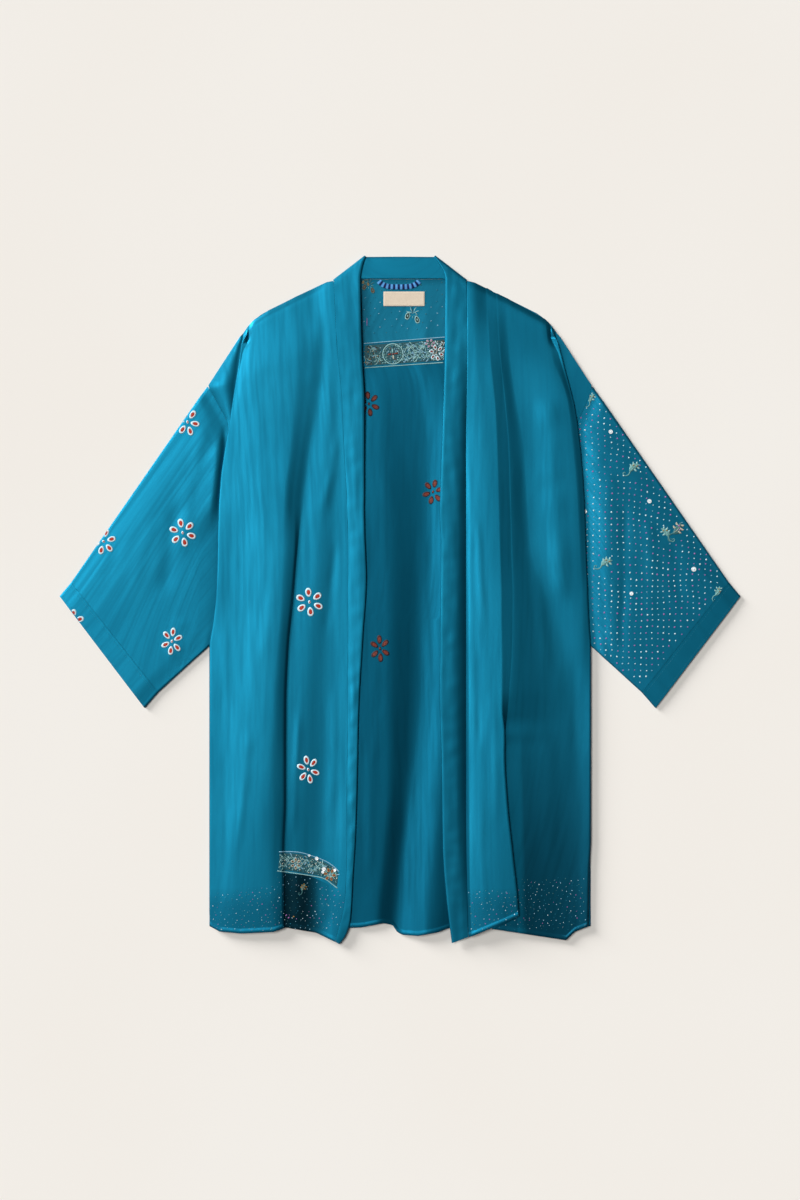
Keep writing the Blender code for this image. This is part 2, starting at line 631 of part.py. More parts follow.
class BandHalf:
    """Half of the neck band: a folded strip up one front, over at the collar and round the neck."""

    def __init__(self, side, front, table):
        self.side = side
        self.front = front
        self.edge, self.edge_height = columns(table)
        self.lift = COLLAR_CORNER[1] - NECK_CORNER[1]
        self.hem = front.groups[0][0][0].hem
        self.drop = self.hem - table[-1][0]

    def front_ends(self, share):
        """The seam point and the edge point of one row up the front."""
        seam_out, seam_y, seam_z = self.front.inner_edge(share)
        edge_y = seam_y + self.lift * ramp(seam_y, COLLAR_FAN_START, NECK_CORNER[1])
        edge_y -= self.drop * ramp(seam_y, BAND_HEM_START, self.hem)
        edge = (self.edge.at(edge_y) + BAND_EDGE_INSET, edge_y, self.edge_height.at(edge_y))
        return (seam_out - HALF_GAP, seam_y, seam_z), edge

    def front_row(self, share):
        seam, edge = self.front_ends(share)
        points = []
        for part in BAND_ACROSS:
            height = mix(seam[2], edge[2], 1 - (1 - part) ** BAND_FALL[self.side])
            points.append((mix(seam[0], edge[0], part), mix(seam[1], edge[1], part), height - BAND_RADIUS))
        return points, (0.0, 0.0, 1.0)

    def turned_row(self, angle):
        """A row on the fold at the collar's corner, at an angle round it."""
        across = [COLLAR_CORNER[i] - NECK_CORNER[i] for i in (0, 1)]
        length = math.hypot(*across)
        outward = (across[1] / length, -across[0] / length)
        swing = COLLAR_RADIUS * math.sin(angle)
        height = BAND_PLANE + COLLAR_RADIUS * (1 + math.cos(angle))
        points = []
        for part in BAND_ACROSS:
            out = NECK_CORNER[0] + across[0] * part + outward[0] * swing
            y = NECK_CORNER[1] + across[1] * part + outward[1] * swing
            points.append((out, y, height))
        normal = (outward[0] * math.sin(angle), outward[1] * math.sin(angle), math.cos(angle))
        return points, normal

    def back_row(self, share):
        """A row of the back neck, from the corner at 0 to the centre line at 1."""
        seam = (mix(NECK_CORNER[0], 0.0, share), mix(NECK_CORNER[1], NECK_SEAM_Y, ease(share * 2.5)))
        edge = (mix(COLLAR_CORNER[0], 0.0, share), COLLAR_CORNER[1])
        points = [(mix(seam[0], edge[0], p), mix(seam[1], edge[1], p), BAND_PLANE) for p in BAND_ACROSS]
        return points, (0.0, 0.0, -1.0)

    def wrap(self, points, normal):
        """Outer layer, round the folded edge, and the inner layer back to the seam."""
        start, end = points[0], points[-1]
        along = [end[i] - start[i] for i in range(3)]
        size = math.sqrt(sum(a * a for a in along))
        along = [a / size for a in along]
        row = [tuple(p[i] + normal[i] * BAND_RADIUS for i in range(3)) for p in points]
        for step in range(1, TURN_STEPS):
            angle = math.pi * step / TURN_STEPS
            swing, rise = BAND_RADIUS * math.sin(angle), BAND_RADIUS * math.cos(angle)
            row.append(tuple(end[i] + along[i] * swing + normal[i] * rise for i in range(3)))
        row.append(tuple(end[i] - normal[i] * BAND_RADIUS for i in range(3)))
        middle = points[1]
        row.append(tuple(middle[i] - normal[i] * BAND_RADIUS for i in range(3)))
        return row + [tuple(start[i] - normal[i] * BAND_RADIUS + along[i] for i in range(3))]

    def grid(self):
        rows = [self.front_row(row_share(side_row)) for side_row in reversed(SIDE_ROWS)]
        rows[-1] = self.turned_row(0.0)
        rows += [self.turned_row(math.pi * step / COLLAR_TURNS) for step in range(1, COLLAR_TURNS)]
        rows += [self.back_row(step / BACK_NECK_ROWS) for step in range(BACK_NECK_ROWS + 1)]
        wrapped = [self.wrap(points, normal) for points, normal in rows]
        return [[(self.side * out, y, z) for out, y, z in row] for row in wrapped]


def band_grid(left, right):
    """The whole neck band, from the left hem round the neck to the right hem."""
    return left.grid() + right.grid()[-2::-1]


class Back:
    """The back panel: flat on the surface but for the folds that show between the fronts."""

    def __init__(self, fronts):
        self.fronts = fronts
        self.places = columns(BACK_PLACES)
        self.heights = columns(BACK_HEIGHTS)
        self.lefts = BACK_PLACES[0][1:]

    def top_y(self, across):
        out = abs(across)
        neck = straight(BACK_NECK, out) if out < BACK_NECK[-1][0] else BACK_NECK[0][1]
        return min(neck, shoulder_y(out))

    def side_edge(self, side, y):
        seam = self.fronts[side].side_seam(y) - HALF_GAP
        return SIDE_OUT if y <= ARMHOLE_ROWS[-1] - 1.0 else seam

    def fold_column(self, share, line, part):
        top = self.top_y(mix(self.lefts[line], self.lefts[line + 1], part))
        hem_place = mix(BACK_PLACES[-1][line + 1], BACK_PLACES[-1][line + 2], part)
        y = mix(top, straight(BACK_HEM, hem_place), share)
        across = mix(self.places[line].at(y), self.places[line + 1].at(y), part)
        pairs = [(place.at(y), height.at(y)) for place, height in zip(self.places, self.heights)]
        return across, y, Track(pairs).at(across)

    def outer_column(self, share, side, part):
        line = 0 if side == LEFT else len(self.places) - 1
        start = abs(self.lefts[line])
        top = self.top_y(mix(start, SHOULDER_END[0], part))
        if part == 1.0:
            top = SIDE_ROWS[0]
        hem = straight(BACK_HEM, side * mix(start, SIDE_OUT, part))
        y = mix(top, mix(hem, SIDE_HEM_Y, ease((part - 0.8) * 5)), share)
        return side * mix(start, self.side_edge(side, y), part), y, LAID_FLAT

    def row(self, share):
        count = BACK_OUTER_COLUMNS
        points = [self.outer_column(share, LEFT, 1 - i / count) for i in range(count)]
        for line, steps in enumerate(BACK_SPANS):
            points += [self.fold_column(share, line, step / steps) for step in range(steps)]
        return points + [self.outer_column(share, RIGHT, i / count) for i in range(count + 1)]

    def grid(self):
        return [self.row(row_share(side_row)) for side_row in SIDE_ROWS]


class Sleeve:
    """A flattened tube from the armhole to the cuff, and the cuff band beyond it."""

    def __init__(self, side, front, profile):
        self.side = side
        self.front = front
        self.by_shoulder, self.by_fold = columns(profile)
        self.calm = Track(CALM_SLEEVE)
        seam = [(front.side_seam(y) + HALF_GAP, y) for y in ARMHOLE_ROWS]
        seam[0] = (seam[0][0], seam[0][1] - SLEEVE_EDGE_INSET)
        seam[-1] = (seam[-1][0], seam[-1][1] + SLEEVE_EDGE_INSET)
        lengths = [0.0]
        for a, b in zip(seam, seam[1:]):
            lengths.append(lengths[-1] + math.dist(a, b))
        self.shares = [length / lengths[-1] for length in lengths]
        self.armhole = seam

    @staticmethod
    def line_point(top, low, share):
        """A point on a line across the sleeve, drawn in by the rounding of its edges."""
        length = math.dist(top, low)
        inset = SLEEVE_EDGE_INSET / length
        share = mix(inset, 1 - inset, share)
        return mix(top[0], low[0], share), mix(top[1], low[1], share)

    def layer_height(self, share, begun, distance):
        """Height of the upper layer, by where on the armhole its line began and how far off it is."""
        beside = ramp(begun, *SHOULDER_TO_FOLD)
        inner = mix(self.by_shoulder.at(distance), self.by_fold.at(distance), beside)
        if self.side == LEFT:
            inner = mix(inner, self.calm.at(distance), ramp(begun, *LEFT_FALL_ENDS))
        bulge = ease(min(share, 1 - share) / SLEEVE_EDGE_ROUNDING)
        low = min(SLEEVE_EDGE_HEIGHT, inner)
        return mix(low, inner, bulge)

    def loop(self, points, distances):
        """Upper layer from the top edge down, and the lower layer back under it."""
        starts = [y for _, y in self.armhole]
        heights = [self.layer_height(*place) for place in zip(self.shares, starts, distances)]
        upper = [(x, y, z) for (x, y), z in zip(points, heights)]
        lower = [(x, y, LAID_FLAT) for x, y in reversed(points)]
        return upper + [self.turn(points[-2], upper[-1])] + lower + [self.turn(points[1], upper[0])]

    @staticmethod
    def turn(inside, edge):
        """Middle of the round edge between the two layers."""
        radius = (edge[2] - LAID_FLAT) / 2
        away = (edge[0] - inside[0], edge[1] - inside[1])
        size = math.hypot(*away)
        return edge[0] + away[0] / size * radius, edge[1] + away[1] / size * radius, LAID_FLAT + radius

    def sleeve_rows(self):
        ends = [self.line_point(CUFF_SEAM_TOP, CUFF_SEAM_LOW, share) for share in self.shares]
        reaches = [math.dist(a, b) for a, b in zip(self.armhole, ends)]
        steps = [(distance, 0.0) for distance in ARMHOLE_RISE]
        steps += [(ARMHOLE_RISE[-1], part) for part in SLEEVE_REACH]
        rows = []
        for near, part in steps:
            distances = [near + (reach - SEAM_GAP - ARMHOLE_RISE[-1]) * part for reach in reaches]
            points = []
            for start, end, reach, distance in zip(self.armhole, ends, reaches, distances):
                t = distance / reach
                points.append((mix(start[0], end[0], t), mix(start[1], end[1], t)))
            rows.append(self.loop(points, distances))
        return rows

    def cuff_rows(self):
        rows = []
        for part in CUFF_ROWS:
            top = tuple(mix(CUFF_SEAM_TOP[i], CUFF_TIP[i], part) for i in (0, 1))
            low = tuple(mix(CUFF_SEAM_LOW[i], CUFF_CORNER[i], part) for i in (0, 1))
            points = [self.line_point(top, low, share) for share in self.shares]
            rows.append(self.loop(points, [self.by_fold.places[-1]] * len(points)))
        return rows

    def mirrored(self, rows):
        return [[(self.side * out, y, z) for out, y, z in row] for row in rows]


def silk(finish):
    """Principled material from a (name, colour, roughness) triple."""
    name, colour, roughness = finish
    material = bpy.data.materials.get(name) or bpy.data.materials.new(name)
    material.use_nodes = True
    shader = material.node_tree.nodes["Principled BSDF"]
    shader.inputs["Base Color"].default_value = (*colour, 1.0)
    shader.inputs["Roughness"].default_value = roughness
    shader.inputs["Metallic"].default_value = 0.0
    material.diffuse_color = (*colour, 1.0)
    return material


def sheet(collection, name, rows, finish, wall=WALL, closed=False):
    """A grid of points in millimetres as an open surface with a wall of cloth."""
    mesh = bpy.data.meshes.new(name)
    bm = bmesh.new()
    grid = [[bm.verts.new((x * MM, y * MM, z * MM)) for x, y, z in row] for row in rows]
    for upper, lower in zip(grid, grid[1:]):
        count = len(upper)
        for i in range(count if closed else count - 1):
            following = (i + 1) % count
            bm.faces.new((upper[i], upper[following], lower[following], lower[i]))
    bmesh.ops.recalc_face_normals(bm, faces=bm.faces)
    bm.to_mesh(mesh)
    bm.free()
    mesh.shade_smooth()
    mesh.materials.append(silk(finish))
    piece = bpy.data.objects.new(name, mesh)
    collection.objects.link(piece)
    shell = piece.modifiers.new("wall", "SOLIDIFY")
    shell.thickness = wall * MM
    shell.offset = 0.0
    return piece


def make_loop(collection):
    """The ribbon that hangs in a shallow curve from the back neck seam."""
    left, right = LOOP_ENDS
    rows = []
    for step in range(LOOP_STEPS + 1):
        part = 2 * step / LOOP_STEPS - 1
        middle, half = (left + right) / 2, (right - left) / 2
        across = middle + half * part
        y = LOOP_TOP_Y - LOOP_SAG * (1 - part ** 4)
        turn = math.atan2(LOOP_SAG * 4 * part ** 3, half)
        side = (-math.sin(turn), math.cos(turn))
        height = LAID_ON_BACK + LOOP_WALL / 2
        row = []
        for edge in (-0.5, 0.5):
            row.append((across + side[0] * LOOP_WIDTH * edge, y + side[1] * LOOP_WIDTH * edge, height))
        rows.append(row)
    return sheet(collection, "hanging_loop", rows, STRIPED_RIBBON, LOOP_WALL)


def make_label(collection):
    bpy.ops.mesh.primitive_cube_add(size=1.0)
    label = bpy.context.active_object
    label.name = label.data.name = "label"
    label.data.transform(scale_matrix(LABEL_SIZE))
    height = LAID_ON_BACK + LABEL_SIZE[2] / 2
    label.location = (LABEL_CENTRE[0] * MM, LABEL_CENTRE[1] * MM, height * MM)
    bevel = label.modifiers.new("soft_edge", "BEVEL")
    bevel.width = LABEL_BEVEL * MM
    bevel.segments = 1
    label.data.materials.append(silk(LABEL_COTTON))
    for holder in list(label.users_collection):
        holder.objects.unlink(label)
    collection.objects.link(label)
    return label


def scale_matrix(size):
    """Matrix that turns a unit cube into a block of a size in millimetres."""
    return Matrix.Diagonal((size[0] * MM, size[1] * MM, size[2] * MM, 1.0))


def main():
    for item in list(bpy.data.objects):
        bpy.data.objects.remove(item, do_unlink=True)
    robe = bpy.data.collections.new(ROBE)
    bpy.context.scene.collection.children.link(robe)

    fronts = {LEFT: make_left_front(), RIGHT: make_right_front()}
    sleeves = {
        LEFT: Sleeve(LEFT, fronts[LEFT], LEFT_SLEEVE),
        RIGHT: Sleeve(RIGHT, fronts[RIGHT], RIGHT_SLEEVE),
    }
    halves = [BandHalf(LEFT, fronts[LEFT], LEFT_BAND), BandHalf(RIGHT, fronts[RIGHT], RIGHT_BAND)]
    sheet(robe, "back_panel", Back(fronts).grid(), TEAL_SILK)
    sheet(robe, "neck_band", band_grid(*halves), BAND_SILK)
    for side, word in ((LEFT, "left"), (RIGHT, "right")):
        sleeve_finish = DOTTED_SILK if side == RIGHT else TEAL_SILK
        sleeve = sleeves[side]
        sheet(robe, f"front_{word}", fronts[side].grid(), TEAL_SILK)
        sheet(robe, f"sleeve_{word}", sleeve.mirrored(sleeve.sleeve_rows()), sleeve_finish, closed=True)
        sheet(robe, f"cuff_{word}", sleeve.mirrored(sleeve.cuff_rows()), BAND_SILK, closed=True)
    make_loop(robe)
    make_label(robe)


main()
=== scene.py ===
"""Silk kimono robe with an open front, laid flat with its front up, in its cloth, sewing and embroidery.

Sizes are in millimetres until a mesh is written in metres. X runs across the robe, Y from the
hem up to the collar and Z up from the surface. "Out" is the distance from the centre line, the
same on both sides, and heights are those of the middle of the cloth.
"""

from __future__ import annotations

import logging
import math
from bisect import bisect_right
from collections.abc import Callable, Iterable, Sequence
from dataclasses import dataclass, field
from enum import Enum
from functools import partial
from random import Random
from typing import Protocol

import bmesh
import bpy
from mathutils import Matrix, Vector, noise
from mathutils.bvhtree import BVHTree

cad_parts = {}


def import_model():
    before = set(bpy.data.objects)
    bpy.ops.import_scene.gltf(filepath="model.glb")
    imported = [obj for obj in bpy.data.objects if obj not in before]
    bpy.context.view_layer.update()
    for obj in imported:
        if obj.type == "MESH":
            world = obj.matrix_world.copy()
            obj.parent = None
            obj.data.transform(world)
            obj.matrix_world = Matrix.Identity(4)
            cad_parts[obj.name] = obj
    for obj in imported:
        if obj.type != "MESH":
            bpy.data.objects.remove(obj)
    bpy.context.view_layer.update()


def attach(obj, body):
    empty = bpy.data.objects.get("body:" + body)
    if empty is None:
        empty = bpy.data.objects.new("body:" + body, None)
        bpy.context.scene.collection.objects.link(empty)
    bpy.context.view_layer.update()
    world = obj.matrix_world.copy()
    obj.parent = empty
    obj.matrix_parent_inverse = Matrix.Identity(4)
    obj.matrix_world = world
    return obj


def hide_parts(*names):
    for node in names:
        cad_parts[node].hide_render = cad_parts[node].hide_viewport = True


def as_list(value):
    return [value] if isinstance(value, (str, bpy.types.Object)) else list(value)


LOG = logging.getLogger("kimono_robe")

Point = tuple[float, float, float]
Flat = tuple[float, float]
Rows = list[list[Point]]
Table = Sequence[Sequence[float]]
Tree = bpy.types.NodeTree
Socket = bpy.types.NodeSocket
Piece = bpy.types.Object

MM = 0.001
TINY = 1e-6
BODY = "root"

# Photograph's frame: pixels, millimetres to a pixel and the pixel at the frame's origin
PHOTO_SIZE = (800, 1200)
MM_PER_PIXEL = 1.45
ORIGIN_PIXEL = (400, 599.75)
CAMERA_HEIGHT_MM = 3000
SENSOR_MM = 36

# Cloth: the silk, and the layers that the solids lie on
SILK_WALL = 0.7
SOLID_WALL = 1
SEAM_GAP = 0.3
HALF_GAP = SEAM_GAP / 2
LAID_FLAT = SOLID_WALL / 2
SECOND_LAYER = 1.9
FOLD_RADIUS = 1
TURN_LENGTH = 2
TURN_STEPS = 6
ROW_STEP = 5
FINER_SPANS = 4

# Outline, as (out, height up the robe)
COLLAR_CORNER = (50.2, 496)
NECK_CORNER = (95.4, 461.2)
NECK_SEAM_Y = 465
SHOULDER = (
    (96, 461.6), (107, 459.6), (150, 439.5), (200, 414.5), (216, 402),
    (228, 385), (232, 381),
)
SIDE_OUT = 276.2
SHOULDER_END_Y = 381
SIDE_HEM_Y = -473
ARMHOLE_Y = (309.5, -62)
ARMHOLE_OUT = (278.5, 270.6)
CUFF_SEAM = ((476.3, 25), (350.6, -134.1))
CUFF_END = ((493, 5.1), (370.2, -156.7))
SLEEVE_EDGE_INSET = 1.3

LEFT_PLACES = (
    # y     seam    dip   ridge    foot    brow  plateau  outer
    (463, 96, 101, 106, 120, 152, 188, 206),
    (369, 91.4, 96, 101, 113, 150, 193, 215),
    (290, 84, 91, 101, 118, 154, 206, 232),
    (217, 81, 90, 106, 130, 160, 210, 240),
    (145, 77, 94, 114, 139, 168, 217, 245),
    (72, 75.4, 97, 118, 148, 170, 220, 247),
    (0, 75.4, 101, 126, 154, 173, 225, 250),
    (-73, 75.4, 104, 133, 161, 178.5, 228, 254),
    (-145, 75.4, 107, 140, 164, 183.5, 228, 255),
    (-218, 76, 110, 143, 164.5, 187, 225, 255),
    (-290, 77, 113, 144, 164.5, 191, 228, 255),
    (-363, 77, 117, 145, 167, 193, 235, 258),
    (-435, 80, 120, 147, 166.8, 188, 240, 260),
    (-490, 92.8, 122, 147, 166, 182, 228, 261),
)
LEFT_HEIGHTS = (
    # y    seam   dip  ridge  foot  brow  plateau  outer
    (463, 6.4, 6.4, 6.3, 6.2, 6.9, 6.9, 6.6),
    (369, 8.4, 8.3, 8.2, 7.7, 9, 8.8, 7.8),
    (290, 8.2, 8, 8.1, 7.4, 9.4, 8.7, 7.5),
    (217, 8.1, 7.8, 8, 7.2, 9.8, 8.6, 7.3),
    (145, 7.9, 7.5, 7.9, 7, 10.2, 8.5, 7.2),
    (72, 7.8, 7.2, 7.7, 6.9, 10.6, 8.5, 7),
    (0, 7.7, 6.9, 7.6, 6.9, 10.9, 8.6, 7),
    (-73, 7.7, 6.5, 7.3, 6.9, 11.3, 8.8, 6.9),
    (-145, 7.8, 6.3, 7.2, 6.9, 11.5, 9.4, 6.8),
    (-218, 8, 6, 7.1, 7, 11.7, 9.9, 6.8),
    (-290, 8.2, 5.6, 6.8, 7.1, 11.6, 10, 6.8),
    (-363, 8.2, 5.2, 6.3, 7, 11.1, 9.5, 6.8),
    (-435, 7.6, 4.4, 5.7, 6.9, 10.4, 8.4, 6.8),
    (-490, 6.4, 4, 5.2, 6.2, 9.4, 8, 6.8),
)
LEFT_SPANS = (2, 2, 2, 2, 2, 3, 2, 2)
LEFT_HEMS = (-495.4, -482, -477.5, -473.8, -480, -482.6, -480)
PLEAT_SHARPENS = (145, 60)
PLEAT_FOOT_RUN = 4
# How far up the pleat its middle line lies, rounded and sharp, and how far on from the foot at the hem
PLEAT_MIDDLE = (0.5, 0.62)
PLEAT_MIDDLE_HEM = 0.3

RIGHT_PLACES = (
    # y     seam   edge   crest  trough   rise
    (463, 96, 101.5, 108, 155, 205),
    (369, 97, 101.5, 110, 158, 214),
    (290, 96, 101.5, 118, 168, 241),
    (217, 95, 101.5, 121, 180, 250),
    (145, 95, 101.5, 125, 184, 256),
    (72, 95, 101.5, 128, 190, 259.5),
    (0, 95, 101, 130, 214, 263),
    (-73, 95, 101, 131, 234, 264),
    (-145, 95, 101, 131, 244, 264),
    (-218, 95, 101, 133, 246, 262),
    (-290, 95, 101, 136, 246, 260),
    (-363, 95.5, 101.5, 143, 244, 258),
    (-435, 97, 103, 150, 242, 256),
    (-490, 98.6, 105, 153, 240, 252),
)
RIGHT_HEIGHTS = (
    # y    seam  edge  crest  trough  rise
    (463, 6.4, 6.6, 6.8, 6, 6),
    (369, 8.3, 8.4, 8.6, 6.4, 6.6),
    (290, 7.8, 8.1, 8.8, 5.9, 7.8),
    (217, 7.2, 7.8, 8.9, 5.6, 8),
    (145, 6.5, 7.6, 9.1, 5.5, 8),
    (72, 6, 7.6, 9.4, 5.4, 7.6),
    (0, 5.8, 7.8, 9.8, 5.2, 6.9),
    (-73, 5.7, 8.1, 10.4, 5, 6.1),
    (-145, 5.8, 8.5, 11.1, 4.8, 5.3),
    (-218, 6, 9, 12.1, 4.7, 5),
    (-290, 6.4, 9.7, 12.9, 4.7, 4.9),
    (-363, 7.1, 10.4, 13.7, 4.7, 4.9),
    (-435, 8, 11, 14.2, 4.7, 4.9),
    (-490, 8.3, 11.2, 14.4, 4.7, 4.9),
)
RIGHT_SPANS = ((2, 3, 2), (4, 2, 2))
RIGHT_HEMS = ((-487.7, -485.6, -465.5, -457.3), (-476, -492.9, -480.6))
PLEAT = (
    # y     edge    top  angle   leg
    (463, 140, 6.2, 1, 12),
    (369, 144, 8.2, 3.6, 12),
    (290, 152, 9, 5.7, 12),
    (217, 158, 9.2, 5.7, 14),
    (145, 160, 9.5, 6.4, 14),
    (72, 162, 9.9, 6.4, 14),
    (0, 164, 10.6, 5.1, 14),
    (-73, 163, 11.4, 4.3, 12),
    (-130, 159, 12, 6, 8),
    (-160, 156.5, 12.4, 20, 6),
    (-180, 154, 12.7, 60, 3),
    (-200, 152, 13, 120, 1),
    (-220, 151.5, 13.3, 180, 0.6),
    (-290, 155.2, 13.8, 180, 7.5),
    (-363, 162.7, 14.2, 180, 19),
    (-435, 170.2, 14.3, 180, 31.5),
    (-490, 173.2, 14.3, 180, 38.5),
)
PLEAT_RADIUS = 1.2

LEFT_SIDE = (
    # y     fold    seam
    (381, 228, 232),
    (309.5, 239, 278.5),
    (284, 243, 264),
    (258, 247, 249.7),
    (220, 253.5, 247.5),
    (180, 259.5, 252),
    (140, 262.6, 255),
    (95, 264.2, 257),
    (50, 264.8, 258.5),
    (0, 267, 260.5),
    (-40, 272, 265),
    (-62, 276, 270.6),
    (-71, 276.2, 275.2),
    (-452, 276.2, 275.2),
    (-473, 275.4, 274.4),
)
RIGHT_SIDE = (
    # y     fold    seam
    (381, 227, 232),
    (309.5, 246, 278.5),
    (284, 252.5, 270),
    (258, 257, 258),
    (220, 261.5, 255),
    (180, 265, 258),
    (140, 267.5, 260.5),
    (95, 269, 262),
    (50, 270.5, 263.5),
    (0, 272.5, 266),
    (-40, 274.6, 268.6),
    (-62, 276.2, 270.6),
    (-71, 276.4, 275.2),
    (-350, 276.4, 275.2),
    (-390, 274, 272.8),
    (-473, 272.6, 271.4),
)
FOLD_TURNS = (381, 345)
FOLD_DEEPENS = (348, 315)
FOLD_LEGS = (3, 0.5)
FOLD_UNDER = 8
SEAM_BEHIND_FOLD = 3
RIGHT_SEAM_LEAN = 0.45
WING_LIFT = {-1: 0.1, 1: 0}
# How far a side fold stands up more than its turns need, and between which heights
FOLD_STAND = 0.8
FOLD_STANDS = (330, 260, 10, -60)
# The cloth turns up in a narrow edge at the shoulder, then rises gently
SHOULDER_CURL = (7, 90)
SHOULDER_RISE_SHARE = 0.4
SHOULDER_EASE = (100, 130)

BAND_RADIUS = 0.9
BAND_PLANE = BAND_RADIUS + SOLID_WALL / 2
COLLAR_RADIUS = 1.6
COLLAR_TOP = BAND_PLANE + 2 * COLLAR_RADIUS + BAND_RADIUS
COLLAR_TURNS = 8
BACK_NECK_STEPS = 14
COLLAR_FAN_START = 380
BAND_EDGE_INSET = 1.4
BAND_HEM_START = -440
BAND_STEPS = 10
BAND_PARTS = tuple(step / BAND_STEPS for step in range(BAND_STEPS + 1))
LEFT_BAND = (
    # y     edge   edge height
    (496, 50.2, COLLAR_TOP),
    (465, 56.6, 6.4),
    (361, 54.7, 8.6),
    (284, 51, 8.8),
    (118, 51, 9),
    (31, 48.3, 9),
    (-53, 53.2, 9),
    (-161, 59.2, 9),
    (-270, 61.6, 9),
    (-343, 63.9, 8.8),
    (-403, 67.6, 8.6),
    (-463, 71.2, 7.6),
    (-485, 78, 6.8),
    (-497.9, 87.2, 6.4),
)
RIGHT_BAND = (
    # y     edge   edge height
    (496, 50.2, COLLAR_TOP),
    (465, 65, 6.4),
    (346, 64.1, 8.8),
    (237, 60.6, 9.4),
    (118, 57.1, 9.5),
    (85, 59, 9.5),
    (-137, 57.3, 9.5),
    (-225, 59.5, 9.5),
    (-358, 61.6, 9.5),
    (-425, 66.1, 9.2),
    (-496.2, 74.7, 8.4),
)

BACK_PLACES = (
    # y     under left  shelf    swell   valley   ridge  under right
    (465, -112, -52, -22, 8, 42, 97),
    (345, -112, -52, -26, 4, 44, 97),
    (310, -112, -54, -36, 22, 60, 97),
    (217, -112, -56, -38, 38, 74, 97),
    (145, -112, -54, -26, 38, 77, 97),
    (0, -112, -52, -20, 34, 77, 97),
    (-73, -112, -54, -21, 31, 76, 97),
    (-145, -112, -56, -20, 27, 74, 97),
    (-218, -112, -58, -18, 21, 64, 97),
    (-290, -112, -60, -20, 13, 58, 97),
    (-363, -112, -62, -25, 4, 52, 97),
    (-435, -112, -66, -32, -3, 46, 97),
    (-486, -112, -72, -36, -8, 41, 97),
)
BACK_HEIGHTS = (
    # y    under left  shelf  swell  valley  ridge  under right
    (465, 0.5, 0.5, 0.5, 0.5, 0.5, 0.5),
    (345, 0.5, 0.5, 0.5, 0.6, 1, 0.5),
    (310, 0.5, 0.8, 1.2, 0.8, 2.2, 0.5),
    (217, 0.5, 2.5, 2.8, 0.7, 3.7, 0.5),
    (145, 0.5, 4.1, 4.2, 0.7, 4.3, 0.5),
    (0, 0.5, 5.1, 5.1, 0.6, 4.7, 0.5),
    (-73, 0.5, 5.5, 5.4, 0.6, 4.9, 0.5),
    (-145, 0.5, 5.7, 5.5, 0.6, 5, 0.5),
    (-218, 0.5, 5.7, 5.4, 0.5, 5.2, 0.5),
    (-290, 0.5, 5.7, 5.3, 0.5, 5.5, 0.5),
    (-363, 0.5, 5.6, 5.3, 0.5, 6.4, 0.5),
    (-435, 0.5, 4.9, 5.3, 0.5, 7.8, 0.5),
    (-486, 0.5, 3.7, 5.2, 0.5, 8.6, 0.5),
)
BACK_SPANS = (2, 2, 2, 4, 3)
BACK_OUTER_STEPS = 20
# Share of the way out from which the back's hem eases to the side seam's end
BACK_HEM_EASES = 0.8
BACK_HEM = (
    # across  hem
    (-276.2, -471), (-112, -474), (-72, -475), (-56, -474), (-26, -468.2),
    (-12, -471.5), (-4.5, -481.5), (3, -485.3), (25, -486.3), (53, -481),
    (72, -474.6), (97, -474), (235, -476), (262, -479), (276.2, -473.5),
)
BACK_NECK = ((0, 464.7), (60, 464.4), (94, 460.6), (99, 460.6))
# The back's neck edge is sewn in between the two layers of the neck band
NECK_TUCK = 2.8
NECK_TUCK_ENDS = (92, 86)

LEFT_SLEEVE = (
    # distance  by the shoulder  by the fold
    (0, SECOND_LAYER, SECOND_LAYER),
    (8.5, 2, SECOND_LAYER),
    (13, 2.3, 2.8),
    (20, 2.8, 4.4),
    (30, 3.4, 5.2),
    (46, 4, 4.9),
    (80, 4.2, 4.3),
    (360, 4, 4),
)
RIGHT_SLEEVE = (
    # distance  by the shoulder  by the fold
    (0, SECOND_LAYER, SECOND_LAYER),
    (10, 2, SECOND_LAYER),
    (17, 2.4, SECOND_LAYER),
    (26, 2.9, 2.4),
    (38, 3.4, 3.2),
    (56, 3.8, 4),
    (90, 4, 4.3),
    (360, 3.8, 3.8),
)
SHOULDER_TO_FOLD = (265, 225)
# The left sleeve falls to the fold above this height and lies calm below it
LEFT_FALL_ENDS = (175, 115)
CALM_SLEEVE = ((0, SECOND_LAYER), (7, 2.5), (20, 3), (34, 3.3), (60, 3.6), (360, 4))
SLEEVE_EDGE_HEIGHT = 3
SLEEVE_EDGE_ROUNDING = 0.13

